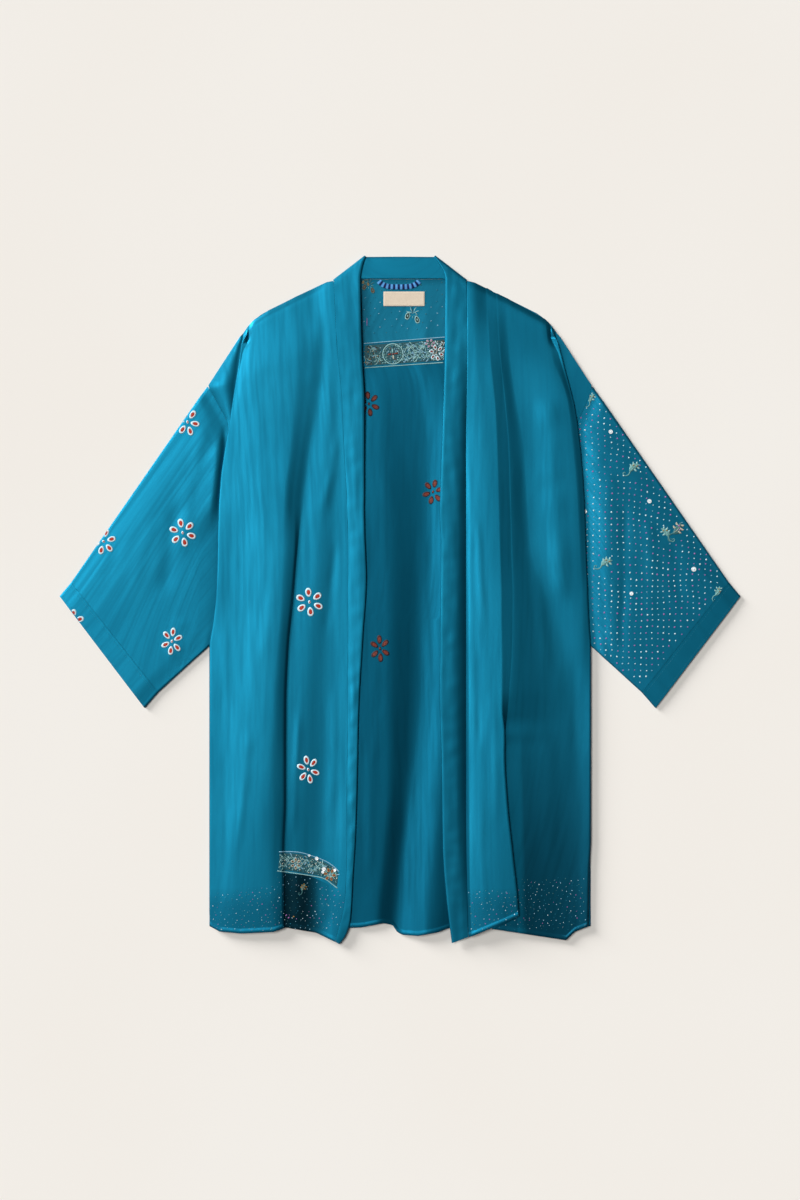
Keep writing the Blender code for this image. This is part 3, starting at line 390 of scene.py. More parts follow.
# Creases, each a soft line that is pressed in or stands up: ends as (out, y), width and height
LEFT_FRONT_CREASES = (
    # out, y to   out, y     width  height
    (216, -174, 238, -379, 7, 0.7),
    (227, 150, 229, -150, 14, -0.5),
    (205, 300, 199, 60, 12, 0.35),
    (88, 245, 112, 120, 7, 0.5),
    (92, 90, 108, -60, 6, -0.4),
    (146, -150, 156, -350, 5, 0.45),
    (96, -120, 101, -330, 5, 0.5),
    (88, -250, 96, -440, 4, -0.35),
    (118, 420, 126, 300, 12, 0.4),
    (183, 20, 205, -110, 9, 0.3),
    (262, 60, 250, -140, 8, 0.35),
    (150, -380, 148, -470, 7, 0.6),
    (116, -360, 108, -470, 6, 0.6),
)
RIGHT_FRONT_CREASES = (
    # out, y to   out, y     width  height
    (214.6, 300, 222, 160, 11, 1.2),
    (221, 185, 236.4, -10, 11, 1.4),
    (112, 130, 121, -60, 5, 0.35),
    (110, -30, 116, -220, 5, -0.4),
    (134, -120, 140, -330, 7, 0.35),
    (116, -250, 122, -460, 5, 0.4),
    (176, 220, 190, 60, 10, -0.4),
    (196, 60, 214, -120, 9, 0.35),
    (210, -180, 222, -400, 12, 0.5),
    (252, -60, 256, -300, 8, -0.4),
    (130, 420, 138, 290, 12, 0.35),
)
LEFT_SLEEVE_CREASES = (
    # out, y to   out, y     width  height
    (318, 150, 344, 0, 12, -0.8),
    (300, 190, 322, 60, 14, 0.5),
    (356, 120, 392, 10, 10, 0.35),
    (312, -20, 336, -90, 10, 0.4),
    (400, 95, 430, 20, 9, -0.3),
    (284, 250, 300, 170, 9, 0.4),
)
RIGHT_SLEEVE_CREASES = (
    # out, y to   out, y     width  height
    (326, 155, 323, -95, 7, -0.55),
    (300, 200, 304, 20, 10, 0.4),
    (360, 130, 366, -40, 9, 0.35),
    (396, 95, 410, -20, 9, -0.3),
    (288, 60, 300, -60, 8, -0.35),
)
BACK_CREASES = (
    # across, y to across, y  width  height
    (-30, 330, -20, 120, 7, 0.4),
    (6, 290, 2, 40, 6, -0.3),
    (34, 110, 38, -120, 6, 0.4),
    (-22, 60, -30, -180, 6, -0.35),
    (-40, -180, -46, -420, 5, 0.5),
    (20, -230, 16, -440, 6, 0.5),
    (40, 430, 30, 300, 9, 0.35),
)
CREASE_FADE = 0.22

# Rolled hem
HEM_DEPTH = 5.2
HEM_LIFT = 0.5
# Depth over which each side of the roll rises, and how far outside the roll its upper and lower side begin
HEM_RISE = 1.8
HEM_BEGINS = (1.2, 0.9)
HEM_ROWS = (9, 7.2, 6.2, 5.4, 4.4, 2.6, 1)


class Side(Enum):
    """Which half of the robe a piece belongs to, by its sign along X."""

    LEFT = -1
    RIGHT = 1

    @property
    def word(self) -> str:
        """What the side is called in the names of pieces."""
        return self.name.lower()


class Held(Enum):
    """How a sheet of cloth is held."""

    LAID = "laid"
    FOLDED = "folded"


# How soon each half of the neck band has risen from its seam, as widths of the band
BAND_FALL = {Side.LEFT: 2, Side.RIGHT: 5}
# Edges sharper than this angle stay sharp, and a face whose normal rises more than this looks up
SHARP_ANGLE = 55
LOOKS_UP = 0.02

# Needlework: how deep its edges go into the cloth, and the running stitch's length, gap, width and height
UNDER_CLOTH = -0.12
STITCH = (2.4, 1.5, 0.45, 0.22)
# Faces this near to a line where dye and painted shade change are divided along it
DYE_AND_SHADE_REACH = 8

# Flowers, as pixel of the centre, half length of a petal, width of the whole and its turn
LEFT_FRONT_BLOSSOMS = ((309.8, 602.1, 7, 1, 6), (308.6, 769.3, 7, 0.74, 14))
LEFT_SLEEVE_BLOSSOMS = (
    (187.9, 422.3, 7, 0.8, 20), (104, 541.5, 6.6, 0.9, 44), (183.1, 532.9, 7, 0.95, 12),
    (172.3, 641.3, 6.8, 0.72, -10), (72.4, 622.5, 6.6, 0.9, 50),
)
WRONG_SIDE_BLOSSOMS = (
    (369, 404, 6.2, 0.8, 10), (433, 492, 6.2, 0.8, -15), (380, 648.5, 6.6, 0.68, 5),
)
HIDDEN_BLOSSOMS = (
    (369, 404, 7, 0.9, 10), (433, 492, 7, 0.9, -15), (380, 648.5, 7, 0.85, 5),
    (290, 470, 7, 0.9, 33), (500, 420, 7, 0.95, 18), (300, 690, 7, 0.9, -24),
    (505, 640, 7, 0.9, 40), (440, 800, 7, 0.85, 8), (270, 850, 7, 0.9, 52),
    (540, 860, 7, 0.9, -30),
)
HIDDEN_SLEEVE_BLOSSOMS = (
    (150, 480, 7, 0.9, 25), (120, 600, 7, 0.85, -12), (190, 600, 7, 0.9, 48),
)

# Curled leaves of the right sleeve, as pixel of the centre, length in mm, turn and curl
CURLED_LEAVES = (
    (590.4, 400.6, 24, 62, 1), (631.6, 470, 30, 40, 1), (667, 535, 28, 128, -1),
    (603.4, 564.3, 30, 30, 1), (716, 593.6, 25, 60, -1),
)
PINK_LEAVES = ((674.5, 531.5, 34, 50, -1),)
# Sequins, as pixel of the centre and radius in mm
SLEEVE_SEQUINS = (
    (610.5, 432, 3.1), (649.1, 501.4, 3.1), (693.4, 569.3, 3.5), (631.1, 593.6, 2.9), (584.9, 511.6, 3),
    (681.4, 675, 1.9),
)
HEM_SEQUINS = (
    (309.5, 855, 1.7), (317, 858, 2.6), (324, 868.5, 2.9), (323, 871.5, 2.2), (335, 869.5, 2.2),
)
# Place up the robe of the lowest spots of the hems
HEM_SPOTS_END = -478
# Radius of the place round a sequin that has no spots
SEQUIN_ROOM = 5.5
# How far the right sleeve's spots end from the cuff's seam and its upper and lower edges, times the edge's length
SPOTS_END = (-900, 1100, -420)

# Embroidered strip inside the back neck, as pixels along its upper and lower edges
NECK_STRIP = (((364, 343.6), (445.7, 337.2)), ((364.7, 367.9), (443.4, 362.7)))
# Places across and up the robe: the neck's lighter dye begins above the first line, the spotted hems below the others
NECK_ZONE = ((-52, 372), (66, 381))
SPOTTED_HEMS = {
    Side.LEFT: ((-268, -419), (-180, -411), (-178, -394), (-132, -399), (-90, -418)),
    Side.RIGHT: ((97, -417), (168, -417), (172, -399), (272, -399)),
}
# Beyond this place across the robe and below this one up it the right front's outer panel is painted with shade that
# deepens towards the hem
SHADE_FROM = 172
SHADE_BELOW = -60
# Places up the robe between which the hems' dye and their painted shade meet along a straight line
DYES_AND_SHADES_MEET = (-395, -500)
# Embroidered strip above the left front's hem
HEM_STRIP = (
    ((279.6, 851), (299.5, 851.8), (316, 856.8), (329.4, 862.6), (339.3, 870.9)),
    ((277.9, 870), (299.5, 873.4), (322.7, 877.5), (330, 882), (337.6, 887.5)),
)


def mix(a: float, b: float, t: float) -> float:
    """Value part of the way from one number to another."""
    return a + (b - a) * t


def mix_points(a: Sequence[float], b: Sequence[float], t: float) -> tuple[float, ...]:
    """Point part of the way from one to another."""
    return tuple(mix(start, end, t) for start, end in zip(a, b))


def ease(t: float) -> float:
    """Smooth step from 0 to 1."""
    t = min(max(t, 0), 1)
    return t * t * (3 - 2 * t)


def ramp(value: float, start: float, end: float) -> float:
    """Smooth step from 0 at the start to 1 at the end."""
    return ease((value - start) / (end - start))


def from_pixel(column: float, row: float) -> Flat:
    """Place on the robe, in millimetres, of a pixel of the photograph."""
    return (column - ORIGIN_PIXEL[0]) * MM_PER_PIXEL, (ORIGIN_PIXEL[1] - row) * MM_PER_PIXEL


def straight(pairs: Sequence[Flat], place: float) -> float:
    """Value on straight lines between (place, value) pairs.

    Args:
        pairs: Places in rising order, each with its value.
        place: Where the value is wanted.

    Returns:
        The value there, or the nearest end's.
    """
    for (a, value_a), (b, value_b) in zip(pairs, pairs[1:]):
        if place <= b:
            return mix(value_a, value_b, max(0, (place - a) / (b - a)))
    return pairs[-1][1]


class Track:
    """A smooth line through (place, value) pairs that stays between neighbouring values."""

    def __init__(self, pairs: Iterable[Flat]) -> None:
        """Work out the slope at each pair.

        Args:
            pairs: Places and their values, in any order.
        """
        self.places, self.values = zip(*sorted(pairs))
        runs = [b - a for a, b in zip(self.places, self.places[1:])]
        rises = [(b - a) / run for a, b, run in zip(self.values, self.values[1:], runs)]
        inner = [2 * a * b / (a + b) if a * b > 0 else 0 for a, b in zip(rises, rises[1:])]
        self.slopes = [rises[0], *inner, rises[-1]]

    def at(self, place: float) -> float:
        """Value at a place, or the nearest end's.

        Args:
            place: Where the value is wanted.

        Returns:
            The value.
        """
        place = min(max(place, self.places[0]), self.places[-1])
        i = min(bisect_right(self.places, place) - 1, len(self.places) - 2)
        run = self.places[i + 1] - self.places[i]
        t = (place - self.places[i]) / run
        start = (1 + 2 * t) * (1 - t) ** 2 * self.values[i] + t * (1 - t) ** 2 * run * self.slopes[i]
        end = t * t * (3 - 2 * t) * self.values[i + 1] - t * t * (1 - t) * run * self.slopes[i + 1]
        return start + end


def columns(table: Table) -> list[Track]:
    """One track down the robe for each column of a table whose first column is the height."""
    return [Track([(row[0], row[c]) for row in table]) for c in range(1, len(table[0]))]


def depth_column(table: Table, column: int) -> tuple[Flat, ...]:
    """A table's column as (depth below the collar, value) pairs, in rising order."""
    return tuple((-row[0], row[column]) for row in table)


def shoulder_y(out: float) -> float:
    """Height of the shoulder's edge at a distance from the centre line."""
    return straight(SHOULDER, out)


def on_shoulder(place: Callable[[float], float]) -> float:
    """Height at which a line, whose place is a function of y, meets the shoulder's edge.

    Args:
        place: Function from y to the line's distance from the centre.

    Returns:
        The height up the robe.
    """
    y = NECK_CORNER[1]
    for _ in range(12):
        y = shoulder_y(place(y))
    return y


def panel_shares() -> list[float]:
    """How far down a panel each row lies, close together at the shoulder and the rolled hem."""
    length = SHOULDER_END_Y - SIDE_HEM_Y
    steps = round(length / ROW_STEP)
    shares = [i / steps for i in range(steps) if i / steps < 1 - (HEM_ROWS[0] + 2) / length]
    return shares + [1 - depth / length for depth in HEM_ROWS] + [1]


def hem_roll(depth: float) -> float:
    """How far the cloth is lifted by its rolled hem at a distance from the hem's edge."""
    upper, lower = HEM_BEGINS
    return HEM_LIFT * ease((HEM_DEPTH + upper - depth) / HEM_RISE) * ease((depth + lower) / HEM_RISE)


@dataclass(frozen=True)
class Creases:
    """Listed creases and a fine crumple, as a height added to a piece of cloth.

    Attributes:
        lines: Rows of a crease table.
        side: Half of the robe that the table's outs are on, or None where they are across.
        crumple: Height of the fine crumple in millimetres.
        grain: Angle in degrees of the cloth's threads from the robe's length.
    """

    lines: tuple[tuple[float, ...], ...]
    side: Side | None
    crumple: float = 0.06
    grain: float = 0

    # How far a crease wanders off its line, how far it is felt in widths, and its least and its added height
    WANDER = 2.5
    FELT = 2.6
    SWELL = (0.75, 0.5)
    # Sizes of the long ripples and of the small crumple, across and along the threads, and the crumple's share
    RIPPLE = (19, 110)
    SMALL = (9, 24)
    SMALL_SHARE = 0.35

    def height(self, x: float, y: float) -> float:
        """Height to add at a place on the robe.

        Args:
            x: Place across the robe.
            y: Place up the robe.

        Returns:
            The height in millimetres.
        """
        out = x if self.side is None else x * self.side.value
        total = self.fine(x, y)
        for a_out, a_y, b_out, b_y, width, height in self.lines:
            run, rise = b_out - a_out, b_y - a_y
            length = math.hypot(run, rise)
            along = ((out - a_out) * run + (y - a_y) * rise) / length / length
            if not 0 < along < 1:
                continue
            wander = self.WANDER * noise.noise(Vector((along * 3.1, a_out * 0.37, a_y * 0.11)))
            off = abs(((out - a_out) * rise - (y - a_y) * run) / length + wander)
            if off > self.FELT * width:
                continue
            swell = self.SWELL[0] + self.SWELL[1] * noise.noise(Vector((along * 4, a_y * 0.21, a_out)))
            fade = ease(along / CREASE_FADE) * ease((1 - along) / CREASE_FADE)
            total += height * swell * fade * math.exp(-((off / width) ** 2))
        return total

    def fine(self, x: float, y: float) -> float:
        """Long soft ripples along the threads and a small crumple over them.

        Args:
            x: Place across the robe.
            y: Place up the robe.

        Returns:
            The height in millimetres.
        """
        turn = math.radians(self.grain)
        across = x * math.cos(turn) - y * math.sin(turn)
        along = x * math.sin(turn) + y * math.cos(turn)
        ripple = noise.noise(Vector((across / self.RIPPLE[0], along / self.RIPPLE[1], 3)))
        small = noise.noise(Vector((across / self.SMALL[0], along / self.SMALL[1], 7)))
        return self.crumple * (ripple + self.SMALL_SHARE * small)


def fold_points(edge: float, top: float, angle: float, leg: float, radius: float) -> list[Flat]:
    """Cloth that turns down, runs back for the leg and turns out again.

    Args:
        edge: Outermost place of the fold.
        top: Height of the cloth before it turns.
        angle: 0 where the cloth runs on flat and half a turn where it is folded under.
        leg: Length of the straight run between the turns.
        radius: Least radius of the turns.

    Returns:
        (out, height) pairs in the order of the cloth.
    """

    def turned(start: Flat, begin: float, bend: int) -> list[Flat]:
        """One of the two turns, from its start.

        Args:
            start: Where the turn begins.
            begin: Angle of the cloth there.
            bend: 1 where the cloth turns down and -1 where it turns out again.

        Returns:
            Points round the turn.
        """
        points = []
        for step in range(TURN_STEPS + 1):
            part = begin + (angle - 2 * begin) * step / TURN_STEPS
            swing, sink = math.sin(part) - math.sin(begin), math.cos(begin) - math.cos(part)
            if angle < 0.01:
                points.append((start[0] + TURN_LENGTH * step / TURN_STEPS, start[1]))
            else:
                points.append((start[0] + bend * radius * swing, start[1] - bend * radius * sink))
        return points

    radius = max(radius, TURN_LENGTH / max(angle, 0.01))
    first = turned((0, top), 0, 1)
    start = (first[-1][0] + leg * math.cos(angle), first[-1][1] - leg * math.sin(angle))
    points = first + turned(start, angle, -1)
    shift = edge - max(out for out, _ in points)
    return [(out + shift, height) for out, height in points]


class Fold:
    """A fold down a panel, given by a function from a height to the arguments of fold_points."""

    def __init__(self, shape: Callable[[float], tuple[float, ...]], radius: float) -> None:
        """Keep the fold's shape and the least radius of its turns."""
        self.shape = shape
        self.radius = radius

    def points(self, y: float) -> list[Flat]:
        """Section of the fold at a height."""
        return fold_points(*self.shape(y), self.radius)

    def start(self, y: float) -> Flat:
        """Where the cloth begins to turn down."""
        return self.points(y)[0]

    def end(self, y: float) -> Flat:
        """Where the cloth has turned out again."""
        return self.points(y)[-1]


class Line:
    """A line down a panel: its place and height as a function of y, and where it ends."""

    def __init__(self, at: Callable[[float], Flat], hem: float) -> None:
        """Keep the line and find where it meets the shoulder.

        Args:
            at: Function from y to (out, height).
            hem: Height up the robe of the line's lower end.
        """
        self.at = at
        self.top = on_shoulder(lambda y: at(y)[0])
        self.hem = hem


def table_lines(places: Table, heights: Table,
                hems: Sequence[float], first: int = 0) -> list[Line]:
    """Lines from a table of places and one of heights, starting at a column.

    Args:
        places: Rows of height up the robe and the place of each line.
        heights: Rows of height up the robe and the height of each line.
        hems: Height up the robe of the lower end of each line.
        first: Number of the table's lines that are left out at the start.

    Returns:
        The lines.
    """
    lines = []
    for place, height, hem in zip(columns(places)[first:], columns(heights)[first:], hems):
        def at(y: float, place: Track = place, height: Track = height) -> Flat:
            """Place and height of this line."""
            return place.at(y), height.at(y)

        lines.append(Line(at, hem))
    return lines


def linear(colour: str) -> tuple[float, float, float, float]:
    """Linear RGBA of an sRGB hex colour."""
    parts = [int(colour[i:i + 2], 16) / 255 for i in (1, 3, 5)]
    red, green, blue = (p / 12.92 if p <= 0.04045 else ((p + 0.055) / 1.055) ** 2.4 for p in parts)
    return red, green, blue, 1


def add_node(tree: Tree, kind: str, values: dict | None = None, **settings: object) -> bpy.types.Node:
    """Add a node with its settings and links.

    Args:
        tree: The material's nodes.
        kind: Type name of the node.
        values: Input name or number to a plain value, or to the socket that feeds it.
        settings: Properties of the node.

    Returns:
        The new node.
    """
    node = tree.nodes.new(kind)
    for name, setting in settings.items():
        setattr(node, name, setting)
    for name, value in (values or {}).items():
        if isinstance(value, Socket):
            tree.links.new(value, node.inputs[name])
        else:
            node.inputs[name].default_value = value
    return node


def start_material(name: str, **constants: object) -> tuple[bpy.types.Material, bpy.types.Node]:
    """New material and its shader, with the values that are the same all over the surface.

    Args:
        name: The material's name.
        constants: Shader inputs, with underscores for the spaces in their names.

    Returns:
        The material and its Principled shader.
    """
    material = bpy.data.materials.new(name)
    material.use_nodes = True
    shader = material.node_tree.nodes["Principled BSDF"]
    for words, value in constants.items():
        shader.inputs[words.replace("_", " ")].default_value = value
    return material, shader


def feed(shader: bpy.types.Node, **sockets: Socket) -> None:
    """Link what changes over the surface to the shader's inputs, named with underscores for spaces."""
    for words, socket in sockets.items():
        shader.id_data.links.new(socket, shader.inputs[words.replace("_", " ")])


def mottle(tree: Tree, across: float, along: float, detail: float = 2) -> Socket:
    """Uneven pattern whose marks have a real size on the cloth.

    Args:
        tree: The material's nodes.
        across: Size of a mark across the threads in millimetres.
        along: Size of a mark along the threads in millimetres.
        detail: How much finer detail the marks have.

    Returns:
        A value around 0.5.
    """
    cloth = add_node(tree, "ShaderNodeUVMap", uv_map="cloth")
    size = (1000 / across, 1000 / along, 1)
    place = add_node(tree, "ShaderNodeVectorMath", {0: cloth.outputs[0], 1: size}, operation="MULTIPLY")
    marks = add_node(tree, "ShaderNodeTexNoise", {"Vector": place.outputs[0], "Scale": 1, "Detail": detail})
    return marks.outputs[0]


def ribs(tree: Tree, axis: int, spacing: float) -> Socket:
    """Even ribs of thread across one axis of the cloth, from -1 to 1.

    Args:
        tree: The material's nodes.
        axis: 0 where the ribs follow each other across the cloth and 1 where along it.
        spacing: Distance from rib to rib in millimetres.

    Returns:
        The height of the ribs.
    """
    cloth = add_node(tree, "ShaderNodeUVMap", uv_map="cloth")
    parts = add_node(tree, "ShaderNodeSeparateXYZ", {0: cloth.outputs[0]})
    phase = 2 * math.pi * 1000 / spacing
    turns = add_node(tree, "ShaderNodeMath", {0: parts.outputs[axis], 1: phase}, operation="MULTIPLY")
    return add_node(tree, "ShaderNodeMath", {0: turns.outputs[0]}, operation="SINE").outputs[0]


def between(tree: Tree, value: Socket, low: float, high: float,
            start: float = 0, end: float = 1) -> Socket:
    """Value brought from one range to another and held there.

    Args:
        tree: The material's nodes.
        value: Socket that is read.
        low: Its value where the result is the start.
        high: Its value where the result is the end.
        start: Result at the low value.
        end: Result at the high value.

    Returns:
        The result's socket.
    """
    values = {"Value": value, 1: low, 2: high, 3: start, 4: end}
    return add_node(tree, "ShaderNodeMapRange", values, interpolation_type="SMOOTHSTEP").outputs[0]


def blend_colours(tree: Tree, factor: Socket, first: Socket | str, second: Socket | str) -> Socket:
    """Mix of two colours, each a socket or a hex colour."""
    first, second = (linear(each) if isinstance(each, str) else each for each in (first, second))
    return add_node(tree, "ShaderNodeMix", {0: factor, 6: first, 7: second}, data_type="RGBA").outputs[2]


def relief(tree: Tree, layers: Sequence[tuple[Socket, float]]) -> Socket:
    """Bump from patterns whose heights are in millimetres.

    Args:
        tree: The material's nodes.
        layers: Patterns, each with the height of its marks.

    Returns:
        The normal.
    """
    total = 0
    for pattern, height in layers:
        values = {0: pattern, 1: height, 2: total}
        total = add_node(tree, "ShaderNodeMath", values, operation="MULTIPLY_ADD").outputs[0]
    return add_node(tree, "ShaderNodeBump", {"Height": total, "Distance": MM, "Strength": 1}).outputs[0]


@dataclass(frozen=True)
class Deepening:
    """A colour that grows deeper across the robe, down it, or both: painted shade at the neck's left end, in the left
    pleat and over the right front's outer panel, and darker towards the hem on the spotted hem.

    Attributes:
        colour: The deep colour.
        across: Places across the robe where it begins and where it is deepest.
        down: Places up the robe where it begins and where it is deepest.
    """

    colour: str
    across: Flat | None = None
    down: Flat | None = None

    def over(self, tree: Tree, dyed: Socket) -> Socket:
        """Lay it over a colour.

        Args:
            tree: The material's nodes.
            dyed: The colour.

        Returns:
            The result's socket.
        """
        place = add_node(tree, "ShaderNodeTexCoord").outputs["Object"]
        parts = add_node(tree, "ShaderNodeSeparateXYZ", {0: place}).outputs
        shares = [between(tree, output, reach[0] * MM, reach[1] * MM)
                  for output, reach in zip(parts, (self.across, self.down)) if reach]
        both = add_node(tree, "ShaderNodeMath", {0: shares[0], 1: shares[-1]}, operation="MINIMUM")
        return blend_colours(tree, both.outputs[0], dyed, self.colour)


@dataclass(frozen=True)
class SilkSatin:
    """Piece-dyed silk satin, woven with long raised threads down its length.

    Attributes:
        name: The material's name.
        ground: Colour of the dyed cloth.
        hollow: Colour in the dull streaks between the raised threads.
        bloom: Colour where the raised threads lie close and catch the light.
        crumple: Height in millimetres of the soft crumple.
        roughness: Roughness in the bright and in the dull streaks.
        satin: How much of the light comes off the raised threads as a tinted gleam.
        deepening: Where the colour grows deeper, if it does, mostly as painted shade.
    """

    name: str
    ground: str
    hollow: str
    bloom: str
    crumple: float = 0.09
    roughness: tuple[float, float] = (0.4, 0.47)
    satin: float = 0.84
    deepening: Deepening | None = None

    def material(self) -> bpy.types.Material:
        """Gives the eye a deep colour that gleams in broad soft bands and never goes chalky."""
        material, shader = start_material(self.name, IOR=1.5, Metallic=self.satin, Specular_IOR_Level=0.12)
        tree = material.node_tree
        streaks = mottle(tree, 7, 120)
        clouds = mottle(tree, 95, 160, 1)
        dull = between(tree, streaks, 0.42, 0.72, 0, 0.4)
        bright = between(tree, clouds, 0.4, 0.7, 0, 0.4)
        dyed = blend_colours(tree, dull, self.ground, self.hollow)
        coloured = blend_colours(tree, bright, dyed, self.bloom)
        if self.deepening:
            coloured = self.deepening.over(tree, coloured)
        rough = between(tree, streaks, 0.3, 0.7, *self.roughness)
        # Threads lie 0.06 mm apart, too fine to show, so the weave is drawn 1.5 mm apart
        layers = [
            (mottle(tree, 26, 120, 1), self.crumple),
            (mottle(tree, 13, 40), 0.55 * self.crumple),
            (mottle(tree, 4.5, 8), 0.16 * self.crumple),
            (ribs(tree, 0, 1.5), 0.006),
            (ribs(tree, 1, 1.5), 0.005),
        ]
        feed(shader, Base_Color=coloured, Roughness=rough, Normal=relief(tree, layers))
        return material


@dataclass(frozen=True)
class TwoColours:
    """What the finishes of two colours have in common.

    Attributes:
        name: The material's name.
        colour: Its main colour.
        other: Colour in its furrows, hollows or patches; in the furrows and hollows it is painted shade.
    """

    name: str
    colour: str
    other: str


@dataclass(frozen=True)
class SatinThread(TwoColours):
    """Rayon embroidery thread, twisted and laid side by side, with painted shade in the furrows between."""

    def material(self) -> bpy.types.Material:
        """Gives the eye a raised patch with fine furrows and a soft gleam across them."""
        material, shader = start_material(self.name, IOR=1.5, Specular_IOR_Level=0.25)
        tree = material.node_tree
        # Thread is 0.4 mm thick, too fine to show, so its furrows are drawn 0.9 mm apart
        furrows = ribs(tree, 0, 0.9)
        # Painted shade: the thread darkens in the low part of each furrow
        depth = between(tree, furrows, 0.2, -0.9)
        shade = blend_colours(tree, depth, self.colour, self.other)
        worn = between(tree, mottle(tree, 2.5, 2.5), 0.35, 0.75, 0, 0.4)
        coloured = blend_colours(tree, worn, shade, self.other)
        rough = between(tree, furrows, -1, 1, 0.6, 0.38)
        feed(shader, Base_Color=coloured, Roughness=rough, Normal=relief(tree, [(furrows, 0.05)]))
        return material


@dataclass(frozen=True)
class PearlSequin(TwoColours):
    """Moulded sequin with a pearl coat, tinted in patches."""

    def material(self) -> bpy.types.Material:
        """Gives the eye a bright white glint with a cool and a warm side."""
        material, shader = start_material(
            self.name, Roughness=0.18, IOR=1.54, Coat_Weight=0.7, Coat_Roughness=0.08, Specular_IOR_Level=0.8,
        )
        tree = material.node_tree
        patches = between(tree, mottle(tree, 2, 2), 0.3, 0.7)
        feed(shader, Base_Color=blend_colours(tree, patches, self.colour, self.other))
        return material


@dataclass(frozen=True)
class StripedRibbon:
    """Polyester ribbon, woven with stripes across it.

    Attributes:
        name: The material's name.
        ground: Colour of the ribbon.
        light: Colour of the pale stripes.
        dark: Colour of the dark stripes.
        spacing: Distance in millimetres from one pale stripe to the next.
    """

    name: str
    ground: str
    light: str
    dark: str
    spacing: float = 6.8

    def material(self) -> bpy.types.Material:
        """Gives the eye blocks of pale and dark blue with a fine rib."""
        material, shader = start_material(self.name, IOR=1.55, Specular_IOR_Level=0.12)
        tree = material.node_tree
        stripes = ribs(tree, 1, self.spacing)
        pale = between(tree, stripes, 0.05, 0.45)
        dark = between(tree, stripes, -0.3, -0.7)
        woven = blend_colours(tree, pale, self.ground, self.light)
        coloured = blend_colours(tree, dark, woven, self.dark)
        rough = between(tree, mottle(tree, 1.5, 1.5), 0.2, 0.8, 0.42, 0.6)
        # Ribs are 0.3 mm apart, too fine to show, so they are drawn 0.8 mm apart
        feed(shader, Base_Color=coloured, Roughness=rough, Normal=relief(tree, [(ribs(tree, 1, 0.8), 0.04)]))
        return material


@dataclass(frozen=True)
class LabelCotton(TwoColours):
    """Unbleached cotton tape, plain woven, with painted shade between its threads."""

    def material(self) -> bpy.types.Material:
        """Gives the eye a matt warm white with a small even grain."""
        material, shader = start_material(self.name, IOR=1.5, Specular_IOR_Level=0.25, Sheen_Weight=0.2)
        tree = material.node_tree
        # Threads are 0.35 mm apart, too fine to show, so they are drawn 0.9 mm apart
        warp, weft = ribs(tree, 0, 0.9), ribs(tree, 1, 0.9)
        grain = add_node(tree, "ShaderNodeMath", {0: warp, 1: weft}, operation="MULTIPLY").outputs[0]
        # Painted shade: darker between the threads
        shade = blend_colours(tree, between(tree, grain, -1, 1), self.other, self.colour)
        rough = between(tree, mottle(tree, 6, 6), 0.2, 0.8, 0.7, 0.85)
        bumps = relief(tree, [(warp, 0.03), (weft, 0.03), (mottle(tree, 9, 9), 0.3)])
        feed(shader, Base_Color=shade, Roughness=rough, Normal=bumps)
        return material


@dataclass(frozen=True)
class StudioPaper(TwoColours):
    """Matt seamless paper, faintly uneven."""

    def material(self) -> bpy.types.Material:
        """Gives the eye a plain pale ground with nothing on it."""
        material, shader = start_material(self.name, Roughness=0.9, Specular_IOR_Level=0.1)
        tree = material.node_tree
        cloudy = between(tree, mottle(tree, 700, 700), 0.3, 0.7)
        feed(shader, Base_Color=blend_colours(tree, cloudy, self.colour, self.other))
        return material


Finish = SilkSatin | SatinThread | PearlSequin | StripedRibbon | LabelCotton | StudioPaper
# Finish by place across and up the robe, and whether the face looks up
Zones = Callable[[float, float, bool], Finish | None]

TEAL_SILK = SilkSatin("teal_silk_satin", "#0C6886", "#095D7A", "#117190")
BAND_SILK = SilkSatin("teal_silk_band", "#0C6886", "#095D7A", "#117190", 0.13)
DOTTED_SILK = SilkSatin("teal_silk_dotted", "#106E8E", "#0B6280", "#167798", 0.1)
# The wrong side is duller satin, and its darker ground is also painted shade of the recess between the fronts
SHADED_WRONG_SIDE = SilkSatin("teal_silk_wrong_side", "#055570", "#034A62", "#075D79", 0.14, (0.42, 0.5), 0.82)
# Its deepening towards the left is painted shade beside the left band
NECK_SILK = SilkSatin("teal_silk_spotted_neck", "#12647F", "#0E5972", "#176C88", 0.14, (0.42, 0.5), 0.82,
                      deepening=Deepening("#0B475C", (-36, -58)))
HEM_SILK = SilkSatin("teal_silk_spotted_hem", "#0C6886", "#095D7A", "#117190",
                     deepening=Deepening("#0A5C78", down=(-410, -445)))
# Painted shade over the right front's outer panel, deepening outwards and down to the hem
RIGHT_SHADE_SILK = SilkSatin("teal_silk_dark_hem", "#0C6886", "#095D7A", "#117190",
                          deepening=Deepening("#07445A", (SHADE_FROM, 186), (SHADE_BELOW, -520)))
# Painted shade inside the left front's pleat at the hem, deepest towards the pleat's fold
PLEAT_SHADE_SILK = SilkSatin("teal_silk_deep_hem", "#0C6481", "#095975", "#116D8B",
                          deepening=Deepening("#052A37", (-98, -138)))
WORKED_GROUND = SatinThread("dark_green_ground_thread", "#1F5C66", "#12414C")
RIBBON = StripedRibbon("blue_striped_ribbon", "#124A94", "#569CD8", "#04103A")
COTTON = LabelCotton("cream_cotton_tape", "#E9DCCB", "#D3C2AD")
SEQUIN = PearlSequin("pearl_sequin", "#F6F8F8", "#D8E8F2")
PAPER = StudioPaper("studio_paper", "#EFEDEA", "#EEEBE7")
# Finish of the spotted hems from left to right, each up to a place across the robe: the spotted hem's silk, and
# painted shade in the left pleat and over the right front's outer panel
HEM_DYES_AND_SHADES = {
    Side.LEFT: ((-168, HEM_SILK), (-98, PLEAT_SHADE_SILK)),
    Side.RIGHT: ((170, HEM_SILK), (300, RIGHT_SHADE_SILK)),
}


